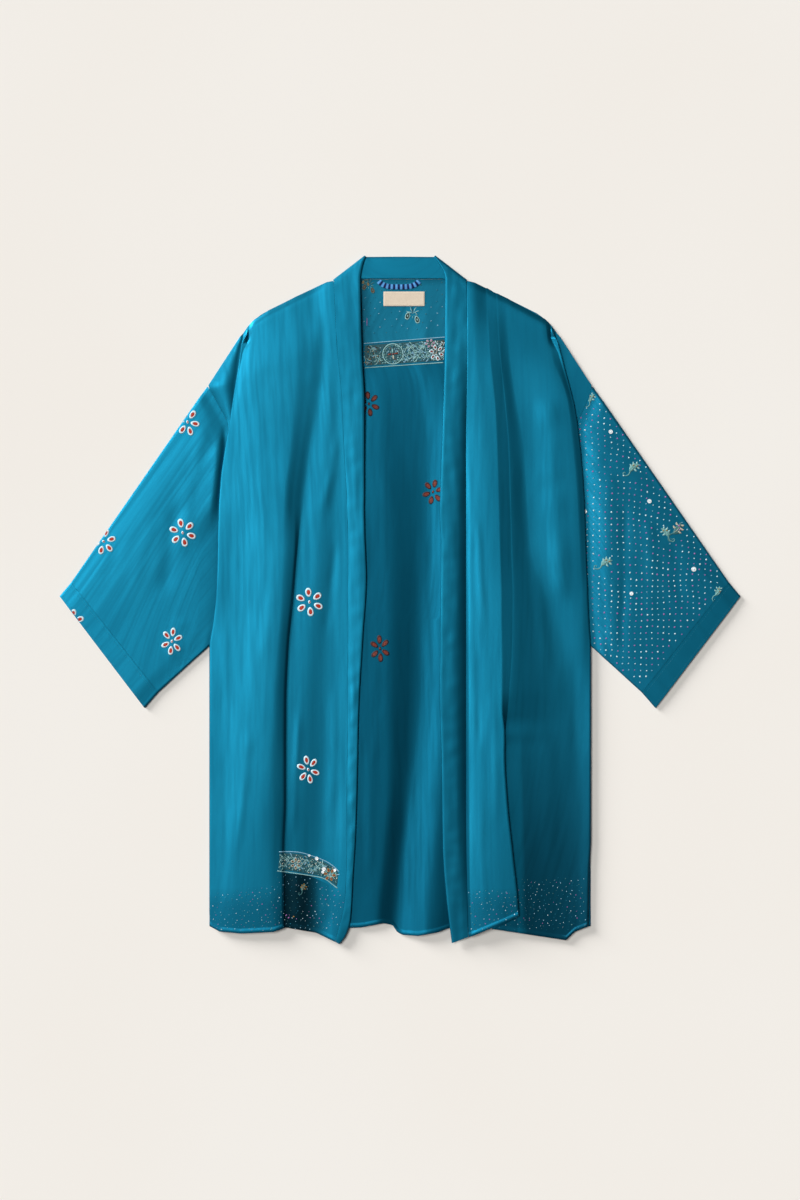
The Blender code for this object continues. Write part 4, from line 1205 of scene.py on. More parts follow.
class Thread(Enum):
    """The colours of the embroidery threads."""

    WHITE = SatinThread("white_thread", "#DCF0F8", "#B4D4E2")
    ORANGE = SatinThread("orange_thread", "#C63A22", "#8C2013")
    RUST = SatinThread("rust_thread", "#8E3B2C", "#5A241C")
    MAROON = SatinThread("maroon_thread", "#4E2A2C", "#2C1A1E")
    CREAM = SatinThread("cream_thread", "#CECDBC", "#949384")
    MINT = SatinThread("mint_thread", "#A4D0D0", "#6A9CA0")
    PALE_GREEN = SatinThread("pale_green_thread", "#78AEAC", "#4A7E80")
    GREY_GREEN = SatinThread("grey_green_thread", "#4A8084", "#2A585E")
    BROWN = SatinThread("brown_thread", "#6A4A30", "#3C2A1C")
    GOLD = SatinThread("gold_thread", "#B08B48", "#75592C")
    PINK = SatinThread("pink_thread", "#B278BC", "#8A5498")
    PALE_BLUE = SatinThread("pale_blue_thread", "#9CCBE0", "#6196B4")
    DARK = SatinThread("dark_green_thread", "#12302E", "#0A1C1C")
    TEAL = SatinThread("teal_thread", "#1C7E9C", "#0E5A74")


# Share of the radii, height and finish of each ring of a raised patch, from the middle out
Rings = Sequence[tuple[float, float, Finish | Thread]]


def material_of(finish: Finish | Thread) -> bpy.types.Material:
    """The material of a finish, made once."""
    finish = finish.value if isinstance(finish, Thread) else finish
    return bpy.data.materials.get(finish.name) or finish.material()


def dress(mesh: bpy.types.Mesh, finishes: Iterable[Finish | Thread], slots: Sequence[int]) -> None:
    """Give a mesh its finishes, and each face the number of its own."""
    for finish in finishes:
        mesh.materials.append(material_of(finish))
    mesh.polygons.foreach_set("material_index", slots)


def new_object(name: str, data: bpy.types.ID) -> Piece:
    """New object in the scene."""
    made = bpy.data.objects.new(name, data)
    bpy.context.scene.collection.objects.link(made)
    return made


def new_mesh(name: str, points: Sequence[Point], faces: Sequence[Sequence[int]],
             maps: Iterable[Flat]) -> bpy.types.Mesh:
    """New mesh with its map of threads.

    Args:
        name: The mesh's name.
        points: Its points in metres.
        faces: Numbers of the points round each face.
        maps: Place on the cloth in metres of each corner of each face.

    Returns:
        The mesh.
    """
    mesh = bpy.data.meshes.new(name)
    mesh.from_pydata(points, [], faces)
    mesh.uv_layers.new(name="cloth").uv.foreach_set("vector", [value for place in maps for value in place])
    return mesh


def running(points: Table) -> list[float]:
    """Distance along a line of points at each of them, in metres.

    Args:
        points: The line's points, in millimetres.

    Returns:
        A distance for each point.
    """
    lengths = [0]
    for a, b in zip(points, points[1:]):
        lengths.append(lengths[-1] + math.dist(a, b) * MM)
    return lengths


def hem_zone(side: Side, x: float, y: float, _up: bool) -> Finish | None:
    """Finish of a front's spotted hem, with painted shade inside the left front's pleat and over the right front's
    outer panel.

    Args:
        side: Side of the front.
        x: Place across the robe.
        y: Place up the robe.
        _up: Whether the face looks up, which makes no difference.

    Returns:
        The finish, or None above the spotted hem outside the right front's painted shade.
    """
    if y > straight(SPOTTED_HEMS[side], x):
        # Painted shade over the right front's outer panel, above its spotted hem as well
        return RIGHT_SHADE_SILK if side is Side.RIGHT and x > SHADE_FROM and y < SHADE_BELOW else None
    return next((finish for end, finish in HEM_DYES_AND_SHADES[side] if x < end), HEM_SILK)


def face_outwards(mesh: bpy.types.Mesh) -> None:
    """Turn the faces of a mesh so that they agree.

    Args:
        mesh: The mesh, which is changed.
    """
    bm = bmesh.new()
    bm.from_mesh(mesh)
    bmesh.ops.recalc_face_normals(bm, faces=bm.faces)
    bm.to_mesh(mesh)
    bm.free()


@dataclass
class Cloth:
    """A thin shell of cloth on a grid of points, with its threads running down the grid.

    Attributes:
        name: The piece's name.
        rows: The grid, row by row.
        closed: Whether each row runs round a tube.
        wall: Thickness of the cloth.
        dye_lines: Straight lines along which dye and painted shade change, so that no face lies across one.
    """

    name: str
    rows: Rows
    closed: bool = False
    wall: float = SILK_WALL
    dye_lines: Sequence[tuple[Flat, Flat]] = ()

    def surface(self) -> bpy.types.Mesh:
        """The open surface in the middle of the cloth, with its map in metres."""
        wide = len(self.rows[0])
        turns = wide if self.closed else wide - 1
        across = [running([*row, row[0]] if self.closed else row) for row in self.rows]
        along = running([row[wide // 3] for row in self.rows])
        faces, maps = [], []
        for r in range(len(self.rows) - 1):
            for c in range(turns):
                for row, column in ((r, c), (r, c + 1), (r + 1, c + 1), (r + 1, c)):
                    faces.append(row * wide + column % wide)
                    maps.append((across[row][column], along[row]))
        points = [(x * MM, y * MM, z * MM) for row in self.rows for x, y, z in row]
        mesh = new_mesh(self.name, points, [faces[i:i + 4] for i in range(0, len(faces), 4)], maps)
        face_outwards(mesh)
        return mesh

    def divide(self, mesh: bpy.types.Mesh) -> None:
        """Divide the faces that lie across a line where dye and painted shade change.

        Args:
            mesh: The shell's mesh, which is changed.
        """
        bm = bmesh.new()
        bm.from_mesh(mesh)
        for (x, y), (end_x, end_y) in self.dye_lines:
            box = [sorted(pair) for pair in ((x * MM, end_x * MM), (y * MM, end_y * MM))]
            near = [face for face in bm.faces if all(
                low - DYE_AND_SHADE_REACH * MM < face.calc_center_median()[axis] < high + DYE_AND_SHADE_REACH * MM
                for axis, (low, high) in enumerate(box)
            )]
            edges = {edge for face in near for edge in face.edges}
            corners = {corner for face in near for corner in face.verts}
            bmesh.ops.bisect_plane(bm, geom=[*near, *edges, *corners], dist=TINY, plane_co=(x * MM, y * MM, 0),
                                   plane_no=(y - end_y, end_x - x, 0))
        bm.to_mesh(mesh)
        bm.free()

    def build(self, finish: Finish, node: str, slot: str, zones: Zones | None = None) -> Piece:
        """Make the shell and let it stand for its solid.

        Args:
            finish: The cloth's finish.
            node: Name of the solid.
            slot: Name of the solid's material, not used.
            zones: The finish at a place and facing, where it is another than the cloth's own.

        Returns:
            The piece.
        """
        piece = new_object(self.name, self.surface())
        shell = piece.modifiers.new("wall", "SOLIDIFY")
        shell.thickness = self.wall * MM
        shell.offset = 0
        bpy.context.view_layer.update()
        walled = bpy.data.meshes.new_from_object(piece.evaluated_get(bpy.context.evaluated_depsgraph_get()))
        piece.modifiers.clear()
        piece.data = walled
        self.divide(walled)
        walled.shade_smooth()
        walled.set_sharp_from_angle(angle=math.radians(SHARP_ANGLE))
        found = [finish]
        slots = []
        for polygon in walled.polygons:
            x, y = (value / MM for value in polygon.center[:2])
            here = (zones and zones(x, y, polygon.normal.z > LOOKS_UP)) or finish
            if here not in found:
                found.append(here)
            slots.append(found.index(here))
        dress(walled, found, slots)
        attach(piece, BODY)
        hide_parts(node)
        LOG.info("%s: %d faces of cloth", self.name, len(walled.polygons))
        return piece


def dressed(rows: Rows, creases: Creases) -> Rows:
    """Rows of a panel with its creases and its rolled hem, which is the last row.

    Args:
        rows: The plain rows.
        creases: What is added to their heights.

    Returns:
        The rows with their new heights.
    """
    return [
        [(x, y, z + creases.height(x, y) + hem_roll(y - end)) for (x, y, z), (_, end, _) in zip(row, rows[-1])]
        for row in rows
    ]


def on_side(side: Side, rows: Iterable[Sequence[Point]]) -> Rows:
    """Rows of the right half of the robe, on the side that they belong to."""
    return [[(side.value * out, y, z) for out, y, z in row] for row in rows]



class FrontPanel:
    """One front: folds across it, then the side fold over the sleeve and the strip under it."""

    def __init__(self, side: Side, side_table: Table, lean: float, creases: Creases) -> None:
        """Keep the panel's side and find its side fold.

        Args:
            side: Half of the robe.
            side_table: Rows of height, fold's place and seam's place.
            lean: Room for the steep cloth beside the neck band's seam.
            creases: The panel's creases.
        """
        self.side = side
        self.lean = lean
        self.creases = creases
        self.edge, self.seam = (depth_column(side_table, c) for c in (1, 2))
        self.side_fold = Fold(self.side_shape, FOLD_RADIUS)
        self.side_line = Line(self.side_start, SIDE_HEM_Y)
        self.groups: list[tuple[list[Line], tuple[int, ...]]] = []
        self.pleat: Fold | None = None

    def side_start(self, y: float) -> Flat:
        """Where the side fold's cloth begins to turn down."""
        out, height = self.side_fold.start(y)
        return out, height + self.stand(y, height)

    def side_seam(self, y: float) -> float:
        """Outer edge of the cloth behind the side fold: the shoulder's edge, then the armhole."""
        return straight(self.seam, -y)

    def side_shape(self, y: float) -> tuple[float, float, float, float]:
        """Edge, top, angle and leg of the side fold.

        Args:
            y: Height up the robe.

        Returns:
            The arguments of fold_points but the radius.
        """
        edge = straight(self.edge, -y)
        turned = 1 - ramp(y, FOLD_TURNS[1], FOLD_TURNS[0])
        deep = 1 - ramp(y, FOLD_DEEPENS[1], FOLD_DEEPENS[0])
        under = max(FOLD_UNDER, edge - self.side_seam(y) + SEAM_BEHIND_FOLD) - 2 * FOLD_RADIUS
        angle = math.pi * turned
        leg = mix(mix(FOLD_LEGS[0], FOLD_LEGS[1], turned), under, deep)
        flat = fold_points(0, 0, angle, leg, FOLD_RADIUS)
        return edge - SOLID_WALL / 2, SECOND_LAYER - flat[-1][1], angle, leg

    @staticmethod
    def raised(y: float, top_y: float, out: float, height: float) -> float:
        """Height of the cloth, brought down to the layer below along the shoulder's edge."""
        low = mix(COLLAR_TOP, SECOND_LAYER, ramp(out, *SHOULDER_EASE))
        begun, done = (ease((top_y - y) / reach) for reach in SHOULDER_CURL)
        return mix(low, height, mix(begun, done, SHOULDER_RISE_SHARE))

    def group_points(self, share: float, lines: Sequence[Line], spans: Sequence[int]) -> list[Point]:
        """One row across a group of lines, from its first line to its last.

        Args:
            share: How far down the panel the row lies.
            lines: The group's lines.
            spans: Number of steps from each line to the next.

        Returns:
            The row's points.
        """
        points = []
        for (line, following), steps in zip(zip(lines, lines[1:]), spans):
            steps *= FINER_SPANS
            for step in range(steps + 1 if following is lines[-1] else steps):
                part = step / steps
                top = mix(line.top, following.top, part)
                y = mix(top, mix(line.hem, following.hem, part), share)
                out = mix(line.at(y)[0], following.at(y)[0], part)
                height = Track([guide.at(y) for guide in lines]).at(out)
                points.append((out, y, self.raised(y, top, out, height)))
        return points

    def pleat_points(self, upper: float, lower: float, tops: Flat) -> list[Point]:
        """Points round the pleat, its edge at one height and its foot at the other.

        Args:
            upper: Height up the robe of the row beside the pleat's edge.
            lower: Height up the robe of the row beside its foot.
            tops: Heights up the robe of the shoulder at both.

        Returns:
            Points round the pleat.
        """
        points = []
        half = TURN_STEPS + 1
        for i in range(2 * half):
            y, top = (upper, tops[0]) if i < half else (lower, tops[1])
            out, height = self.pleat.points(y)[i]
            points.append((out, y, self.raised(y, top, out, height)))
        return points

    def side_points(self, share: float) -> list[Point]:
        """Points round the side fold, back under and out to the seam.

        Args:
            share: How far down the panel the row lies.

        Returns:
            Points from the side fold to the seam.
        """
        seam_y = mix(SHOULDER_END_Y, SIDE_HEM_Y, share)
        seam = self.side_seam(seam_y) - HALF_GAP
        points = []
        for begun, here in zip(self.side_fold.points(SHOULDER_END_Y), self.side_fold.points(seam_y)):
            y = mix(shoulder_y(begun[0]), SIDE_HEM_Y, share)
            drift = straight(self.edge, -y) - straight(self.edge, -seam_y)
            points.append((here[0] + drift, y, here[1] + self.stand(seam_y, here[1])))
        out, y, _ = points[-1]
        lift = WING_LIFT[self.side.value] * max(seam - out, 0)
        for part in (0.25, 0.5, 0.75):
            bow = 4 * part * (1 - part)
            points.append((mix(out, seam, part), mix(y, seam_y, part), SECOND_LAYER + lift * bow))
        return points + [(seam, seam_y, SECOND_LAYER)]

    def stand(self, y: float, height: float) -> float:
        """How much further up a point of the side fold stands."""
        top, full, fading, end = FOLD_STANDS
        share = ramp(y, top, full) * ramp(y, end, fading)
        return share * FOLD_STAND * ease((height - SECOND_LAYER) / (4 * FOLD_RADIUS))

    def inner_edge(self, share: float) -> Point:
        """Where the neck band is sewn on.

        Args:
            share: How far down the panel the row lies.

        Returns:
            A point on the seam.
        """
        first = self.groups[0][0][0]
        y = mix(first.top, first.hem, share)
        out, height = first.at(y)
        return out, y, self.raised(y, first.top, out, height)

    def row(self, share: float) -> list[Point]:
        """One row across the panel, on the right half of the robe.

        Args:
            share: How far down the panel the row lies.

        Returns:
            The row's points.
        """
        points: list[Point] = []
        for i, (lines, spans) in enumerate(self.groups):
            if i:
                before = self.groups[i - 1][0][-1]
                upper, lower = (mix(line.top, line.hem, share) for line in (before, lines[0]))
                points[-1:] = self.pleat_points(upper, lower, (before.top, lines[0].top))[:-1]
            points += self.group_points(share, lines, spans)
        points[-1:] = self.side_points(share)
        out, y, height = points[0]
        points[0] = (out + HALF_GAP + self.lean, y, height)
        return points

    def rows(self) -> Rows:
        """The panel's grid on its own side, with creases and hem."""
        return dressed(on_side(self.side, map(self.row, panel_shares())), self.creases)

    def build(self) -> Piece:
        """Make the panel and put it in place of its solid."""
        name = f"front_{self.side.word}"
        edges = SPOTTED_HEMS[self.side]
        lines = list(zip(edges, edges[1:])) + [tuple((end, y) for y in DYES_AND_SHADES_MEET) for end, _ in HEM_DYES_AND_SHADES[self.side]]
        cloth = Cloth(f"{name}_silk", self.rows(), dye_lines=lines)
        return cloth.build(TEAL_SILK, name, "teal_silk", partial(hem_zone, self.side))


def make_left_front() -> FrontPanel:
    """The left front, with its long pleat as a steep step."""
    front = FrontPanel(Side.LEFT, LEFT_SIDE, 0, Creases(LEFT_FRONT_CREASES, Side.LEFT))
    lines = table_lines(LEFT_PLACES, LEFT_HEIGHTS, LEFT_HEMS)
    foot, brow = lines[3], lines[4]

    def steep(y: float) -> Flat:
        """Line half way up the steep side of the pleat.

        Args:
            y: Height up the robe.

        Returns:
            The line's place and height.
        """
        (foot_out, low), (brow_out, high) = foot.at(y), brow.at(y)
        sharp = 1 - ramp(y, PLEAT_SHARPENS[1], PLEAT_SHARPENS[0])
        run = mix((brow_out - foot_out) / 2, PLEAT_FOOT_RUN, sharp)
        return foot_out + run, low + (high - low) * mix(*PLEAT_MIDDLE, sharp)

    lines.insert(4, Line(steep, mix(foot.hem, brow.hem, PLEAT_MIDDLE_HEM)))
    front.groups = [(lines + [front.side_line], LEFT_SPANS)]
    return front


def make_right_front() -> FrontPanel:
    """The right front, with its pleat folded under towards the hem."""
    front = FrontPanel(Side.RIGHT, RIGHT_SIDE, RIGHT_SEAM_LEAN, Creases(RIGHT_FRONT_CREASES, Side.RIGHT))
    edge, top, angle, leg = columns(PLEAT)
    front.pleat = Fold(lambda y: (edge.at(y), top.at(y), math.radians(angle.at(y)), leg.at(y)), PLEAT_RADIUS)
    inner_hems, outer_hems = RIGHT_HEMS
    inner = table_lines(RIGHT_PLACES, RIGHT_HEIGHTS, inner_hems)[:3]
    outer = table_lines(RIGHT_PLACES, RIGHT_HEIGHTS, outer_hems[1:], 3)
    inner.append(Line(front.pleat.start, inner_hems[-1]))
    outer.insert(0, Line(front.pleat.end, outer_hems[0]))
    front.groups = list(zip((inner, outer + [front.side_line]), RIGHT_SPANS))
    return front


class BandHalf:
    """Half of the neck band: a folded strip up one front, over at the collar and round the neck."""

    def __init__(self, front: FrontPanel, table: Table) -> None:
        """Keep the front that the band is sewn to and the band's free edge.

        Args:
            front: The front panel.
            table: Rows of height, edge's place and edge's height.
        """
        self.side = front.side
        self.front = front
        self.edge, self.edge_height = columns(table)
        self.lift = COLLAR_CORNER[1] - NECK_CORNER[1]
        self.hem = front.groups[0][0][0].hem
        self.drop = self.hem - table[-1][0]

    def front_ends(self, share: float) -> tuple[Point, Point]:
        """The seam point and the edge point of one row up the front.

        Args:
            share: How far down the panel the row lies.

        Returns:
            Both points.
        """
        seam_out, seam_y, seam_z = self.front.inner_edge(share)
        edge_y = seam_y + self.lift * ramp(seam_y, COLLAR_FAN_START, NECK_CORNER[1])
        edge_y -= self.drop * ramp(seam_y, BAND_HEM_START, self.hem)
        edge = (self.edge.at(edge_y) + BAND_EDGE_INSET, edge_y, self.edge_height.at(edge_y))
        return (seam_out - HALF_GAP, seam_y, seam_z), edge

    def front_row(self, share: float) -> tuple[list[Point], Point]:
        """A row across the band on the front, and the way that it faces.

        Args:
            share: How far down the panel the row lies.

        Returns:
            The row's points, and a vector.
        """
        seam, edge = self.front_ends(share)
        points = []
        for part in BAND_PARTS:
            height = mix(seam[2], edge[2], 1 - (1 - part) ** BAND_FALL[self.side])
            points.append((*mix_points(seam[:2], edge[:2], part), height - BAND_RADIUS))
        return points, (0, 0, 1)

    def turned_row(self, angle: float) -> tuple[list[Point], Point]:
        """A row on the fold at the collar's corner, and the way that it faces.

        Args:
            angle: How far the band has turned over.

        Returns:
            The row's points, and a vector.
        """
        across = [COLLAR_CORNER[i] - NECK_CORNER[i] for i in (0, 1)]
        length = math.hypot(*across)
        outward = (across[1] / length, -across[0] / length)
        swing = COLLAR_RADIUS * math.sin(angle)
        height = BAND_PLANE + COLLAR_RADIUS * (1 + math.cos(angle))
        points = []
        for part in BAND_PARTS:
            out = NECK_CORNER[0] + across[0] * part + outward[0] * swing
            points.append((out, NECK_CORNER[1] + across[1] * part + outward[1] * swing, height))
        normal = (outward[0] * math.sin(angle), outward[1] * math.sin(angle), math.cos(angle))
        return points, normal

    def back_row(self, share: float) -> tuple[list[Point], Point]:
        """A row of the back neck, from the corner at 0 to the centre line at 1."""
        seam = (mix(NECK_CORNER[0], 0, share), mix(NECK_CORNER[1], NECK_SEAM_Y, ease(share * 2.5)))
        edge = (mix(COLLAR_CORNER[0], 0, share), COLLAR_CORNER[1])
        return [(*mix_points(seam, edge, part), BAND_PLANE) for part in BAND_PARTS], (0, 0, -1)

    @staticmethod
    def wrap(points: Sequence[Point], normal: Point) -> list[Point]:
        """Outer layer, round the folded edge, and the inner layer back to the seam.

        Args:
            points: The band's middle, from the seam to the folded edge.
            normal: The way that the outer layer faces.

        Returns:
            Points round the folded strip.
        """
        start, end = Vector(points[0]), Vector(points[-1])
        out = Vector(normal) * BAND_RADIUS
        along = (end - start).normalized()
        row = [Vector(p) + out for p in points]
        for step in range(1, TURN_STEPS):
            angle = math.pi * step / TURN_STEPS
            row.append(end + along * BAND_RADIUS * math.sin(angle) + out * math.cos(angle))
        row += [Vector(p) - out for p in reversed(points[1:])]
        row.append(start - out + along)
        return [tuple(point) for point in row]

    def rows(self) -> Rows:
        """The half's grid on its own side, from the hem to the centre of the back neck."""
        rows = [self.front_row(share) for share in reversed(panel_shares())]
        rows[-1] = self.turned_row(0)
        rows += [self.turned_row(math.pi * step / COLLAR_TURNS) for step in range(1, COLLAR_TURNS)]
        rows += [self.back_row(step / BACK_NECK_STEPS) for step in range(BACK_NECK_STEPS + 1)]
        return on_side(self.side, (self.wrap(*row) for row in rows))


@dataclass
class NeckBand:
    """The whole neck band, one strip from the left hem round the neck to the right hem.

    Attributes:
        halves: Its left and right halves.
        crinkle: Height of the small puckers across it.
        pucker: Size of a pucker across and along the band.
        ripple: Size of a ripple of half that height across and along the band.
        waver: How far the edge wavers, and over what length.
    """

    halves: tuple[BandHalf, BandHalf]
    crinkle: float = 0.42
    pucker: Flat = (26, 13)
    ripple: Flat = (9, 70)
    waver: Flat = (0.25, 24)

    def ruffled(self, row: Sequence[Point], index: int, last: int) -> list[Point]:
        """One row with its small puckers, strongest on the outer layer away from both edges.

        Args:
            row: The plain row.
            index: Its number.
            last: Number of the last row.

        Returns:
            The row's new points.
        """
        new = []
        near_hem = ease(min(index, last - index) / 3)
        for c, (x, y, z) in enumerate(row):
            flat = math.sin(math.pi * (c / BAND_STEPS)) if c <= BAND_STEPS else 0
            wave = noise.noise(Vector((x / self.pucker[0], y / self.pucker[1], 2)))
            long_wave = noise.noise(Vector((x / self.ripple[0], y / self.ripple[1], 9)))
            in_front = abs(x) < SHOULDER_EASE[0] and y < NECK_CORNER[1]
            edge = self.waver[0] * noise.noise(Vector((y / self.waver[1], 5, 1))) if in_front else 0
            rise = flat * (self.crinkle * wave + 0.5 * self.crinkle * long_wave)
            new.append((x + edge * near_hem, y, z + near_hem * rise))
        return new

    def build(self) -> Piece:
        """Make the band and put it in place of its solid."""
        left, right = (half.rows() for half in self.halves)
        rows = left + right[-2::-1]
        rows = [self.ruffled(row, i, len(rows) - 1) for i, row in enumerate(rows)]
        return Cloth("neck_band_silk", rows).build(BAND_SILK, "neck_band", "band_silk")


class BackPanel:
    """The back: flat on the surface but for the folds that show between the fronts."""

    def __init__(self, fronts: dict[Side, FrontPanel], creases: Creases) -> None:
        """Keep the fronts that share its side seams, and its creases.

        Args:
            fronts: The front on each side.
            creases: Its creases.
        """
        self.fronts = fronts
        self.creases = creases
        self.places = columns(BACK_PLACES)
        self.heights = columns(BACK_HEIGHTS)
        self.lefts = BACK_PLACES[0][1:]

    @staticmethod
    def top_y(across: float) -> float:
        """Height of the panel's upper edge at a distance across the robe."""
        out = abs(across)
        neck = straight(BACK_NECK, out) if out < BACK_NECK[-1][0] else BACK_NECK[0][1]
        return min(neck, shoulder_y(out)) + NECK_TUCK * ramp(out, *NECK_TUCK_ENDS)

    def side_edge(self, side: Side, y: float) -> float:
        """Distance out of the side edge at a height."""
        seam = self.fronts[side].side_seam(y) - HALF_GAP
        return SIDE_OUT if y <= ARMHOLE_Y[1] - 1 else seam

    def fold_column(self, share: float, line: int, part: float) -> Point:
        """A point between two of the fold lines.

        Args:
            share: How far down the panel the row lies.
            line: Number of the line before the point.
            part: Share of the way to the next line.

        Returns:
            The point.
        """
        top = self.top_y(mix(self.lefts[line], self.lefts[line + 1], part))
        hem_place = mix(BACK_PLACES[-1][line + 1], BACK_PLACES[-1][line + 2], part)
        y = mix(top, straight(BACK_HEM, hem_place), share)
        across = mix(self.places[line].at(y), self.places[line + 1].at(y), part)
        pairs = [(place.at(y), height.at(y)) for place, height in zip(self.places, self.heights)]
        return across, y, Track(pairs).at(across)

    def outer_column(self, share: float, side: Side, part: float) -> Point:
        """A point under one of the fronts.

        Args:
            share: How far down the panel the row lies.
            side: Side of the front.
            part: Share of the way out to the side edge.

        Returns:
            The point.
        """
        start = abs(self.lefts[0 if side is Side.LEFT else -1])
        top = self.top_y(mix(start, SHOULDER[-1][0], part)) if part < 1 else SHOULDER_END_Y
        hem = straight(BACK_HEM, side.value * mix(start, SIDE_OUT, part))
        y = mix(top, mix(hem, SIDE_HEM_Y, ease((part - BACK_HEM_EASES) * 5)), share)
        return side.value * mix(start, self.side_edge(side, y), part), y, LAID_FLAT

    def row(self, share: float) -> list[Point]:
        """One row across the panel.

        Args:
            share: How far down the panel the row lies.

        Returns:
            The row's points.
        """
        count = BACK_OUTER_STEPS
        points = [self.outer_column(share, Side.LEFT, 1 - i / count) for i in range(count)]
        for line, steps in enumerate(BACK_SPANS):
            steps *= FINER_SPANS
            points += [self.fold_column(share, line, step / steps) for step in range(steps)]
        return points + [self.outer_column(share, Side.RIGHT, i / count) for i in range(count + 1)]

    def rows(self) -> Rows:
        """The panel's grid with creases and hem, kept off the surface that it lies on."""
        plain = [self.row(share) for share in panel_shares()]
        raised = dressed(plain, self.creases)
        return [
            [(x, y, max(z, z_plain - 0.1) + self.tucked(x, y)) for (x, y, z), (_, _, z_plain) in zip(row, plain_row)]
            for row, plain_row in zip(raised, plain)
        ]

    @staticmethod
    def inside(x: float, y: float, up: bool) -> Finish | None:
        """Finish of the cloth's wrong side: duller satin whose darker ground is partly painted shade, dyed lighter
        above the neck's border strip, where painted shade darkens its left end.
        """
        if not up:
            return None
        return NECK_SILK if y > straight(NECK_ZONE, x) else SHADED_WRONG_SIDE

    @staticmethod
    def tucked(x: float, y: float) -> float:
        """How far the neck edge is lifted to lie between the band's layers."""
        return (BAND_PLANE - LAID_FLAT) * ramp(y, NECK_SEAM_Y - 4.5, NECK_SEAM_Y) * ramp(abs(x), *NECK_TUCK_ENDS)

    def build(self) -> Piece:
        """Make the panel and put it in place of its solid."""
        cloth = Cloth("back_silk", self.rows(), dye_lines=[NECK_ZONE])
        return cloth.build(TEAL_SILK, "back_panel", "teal_silk", self.inside)


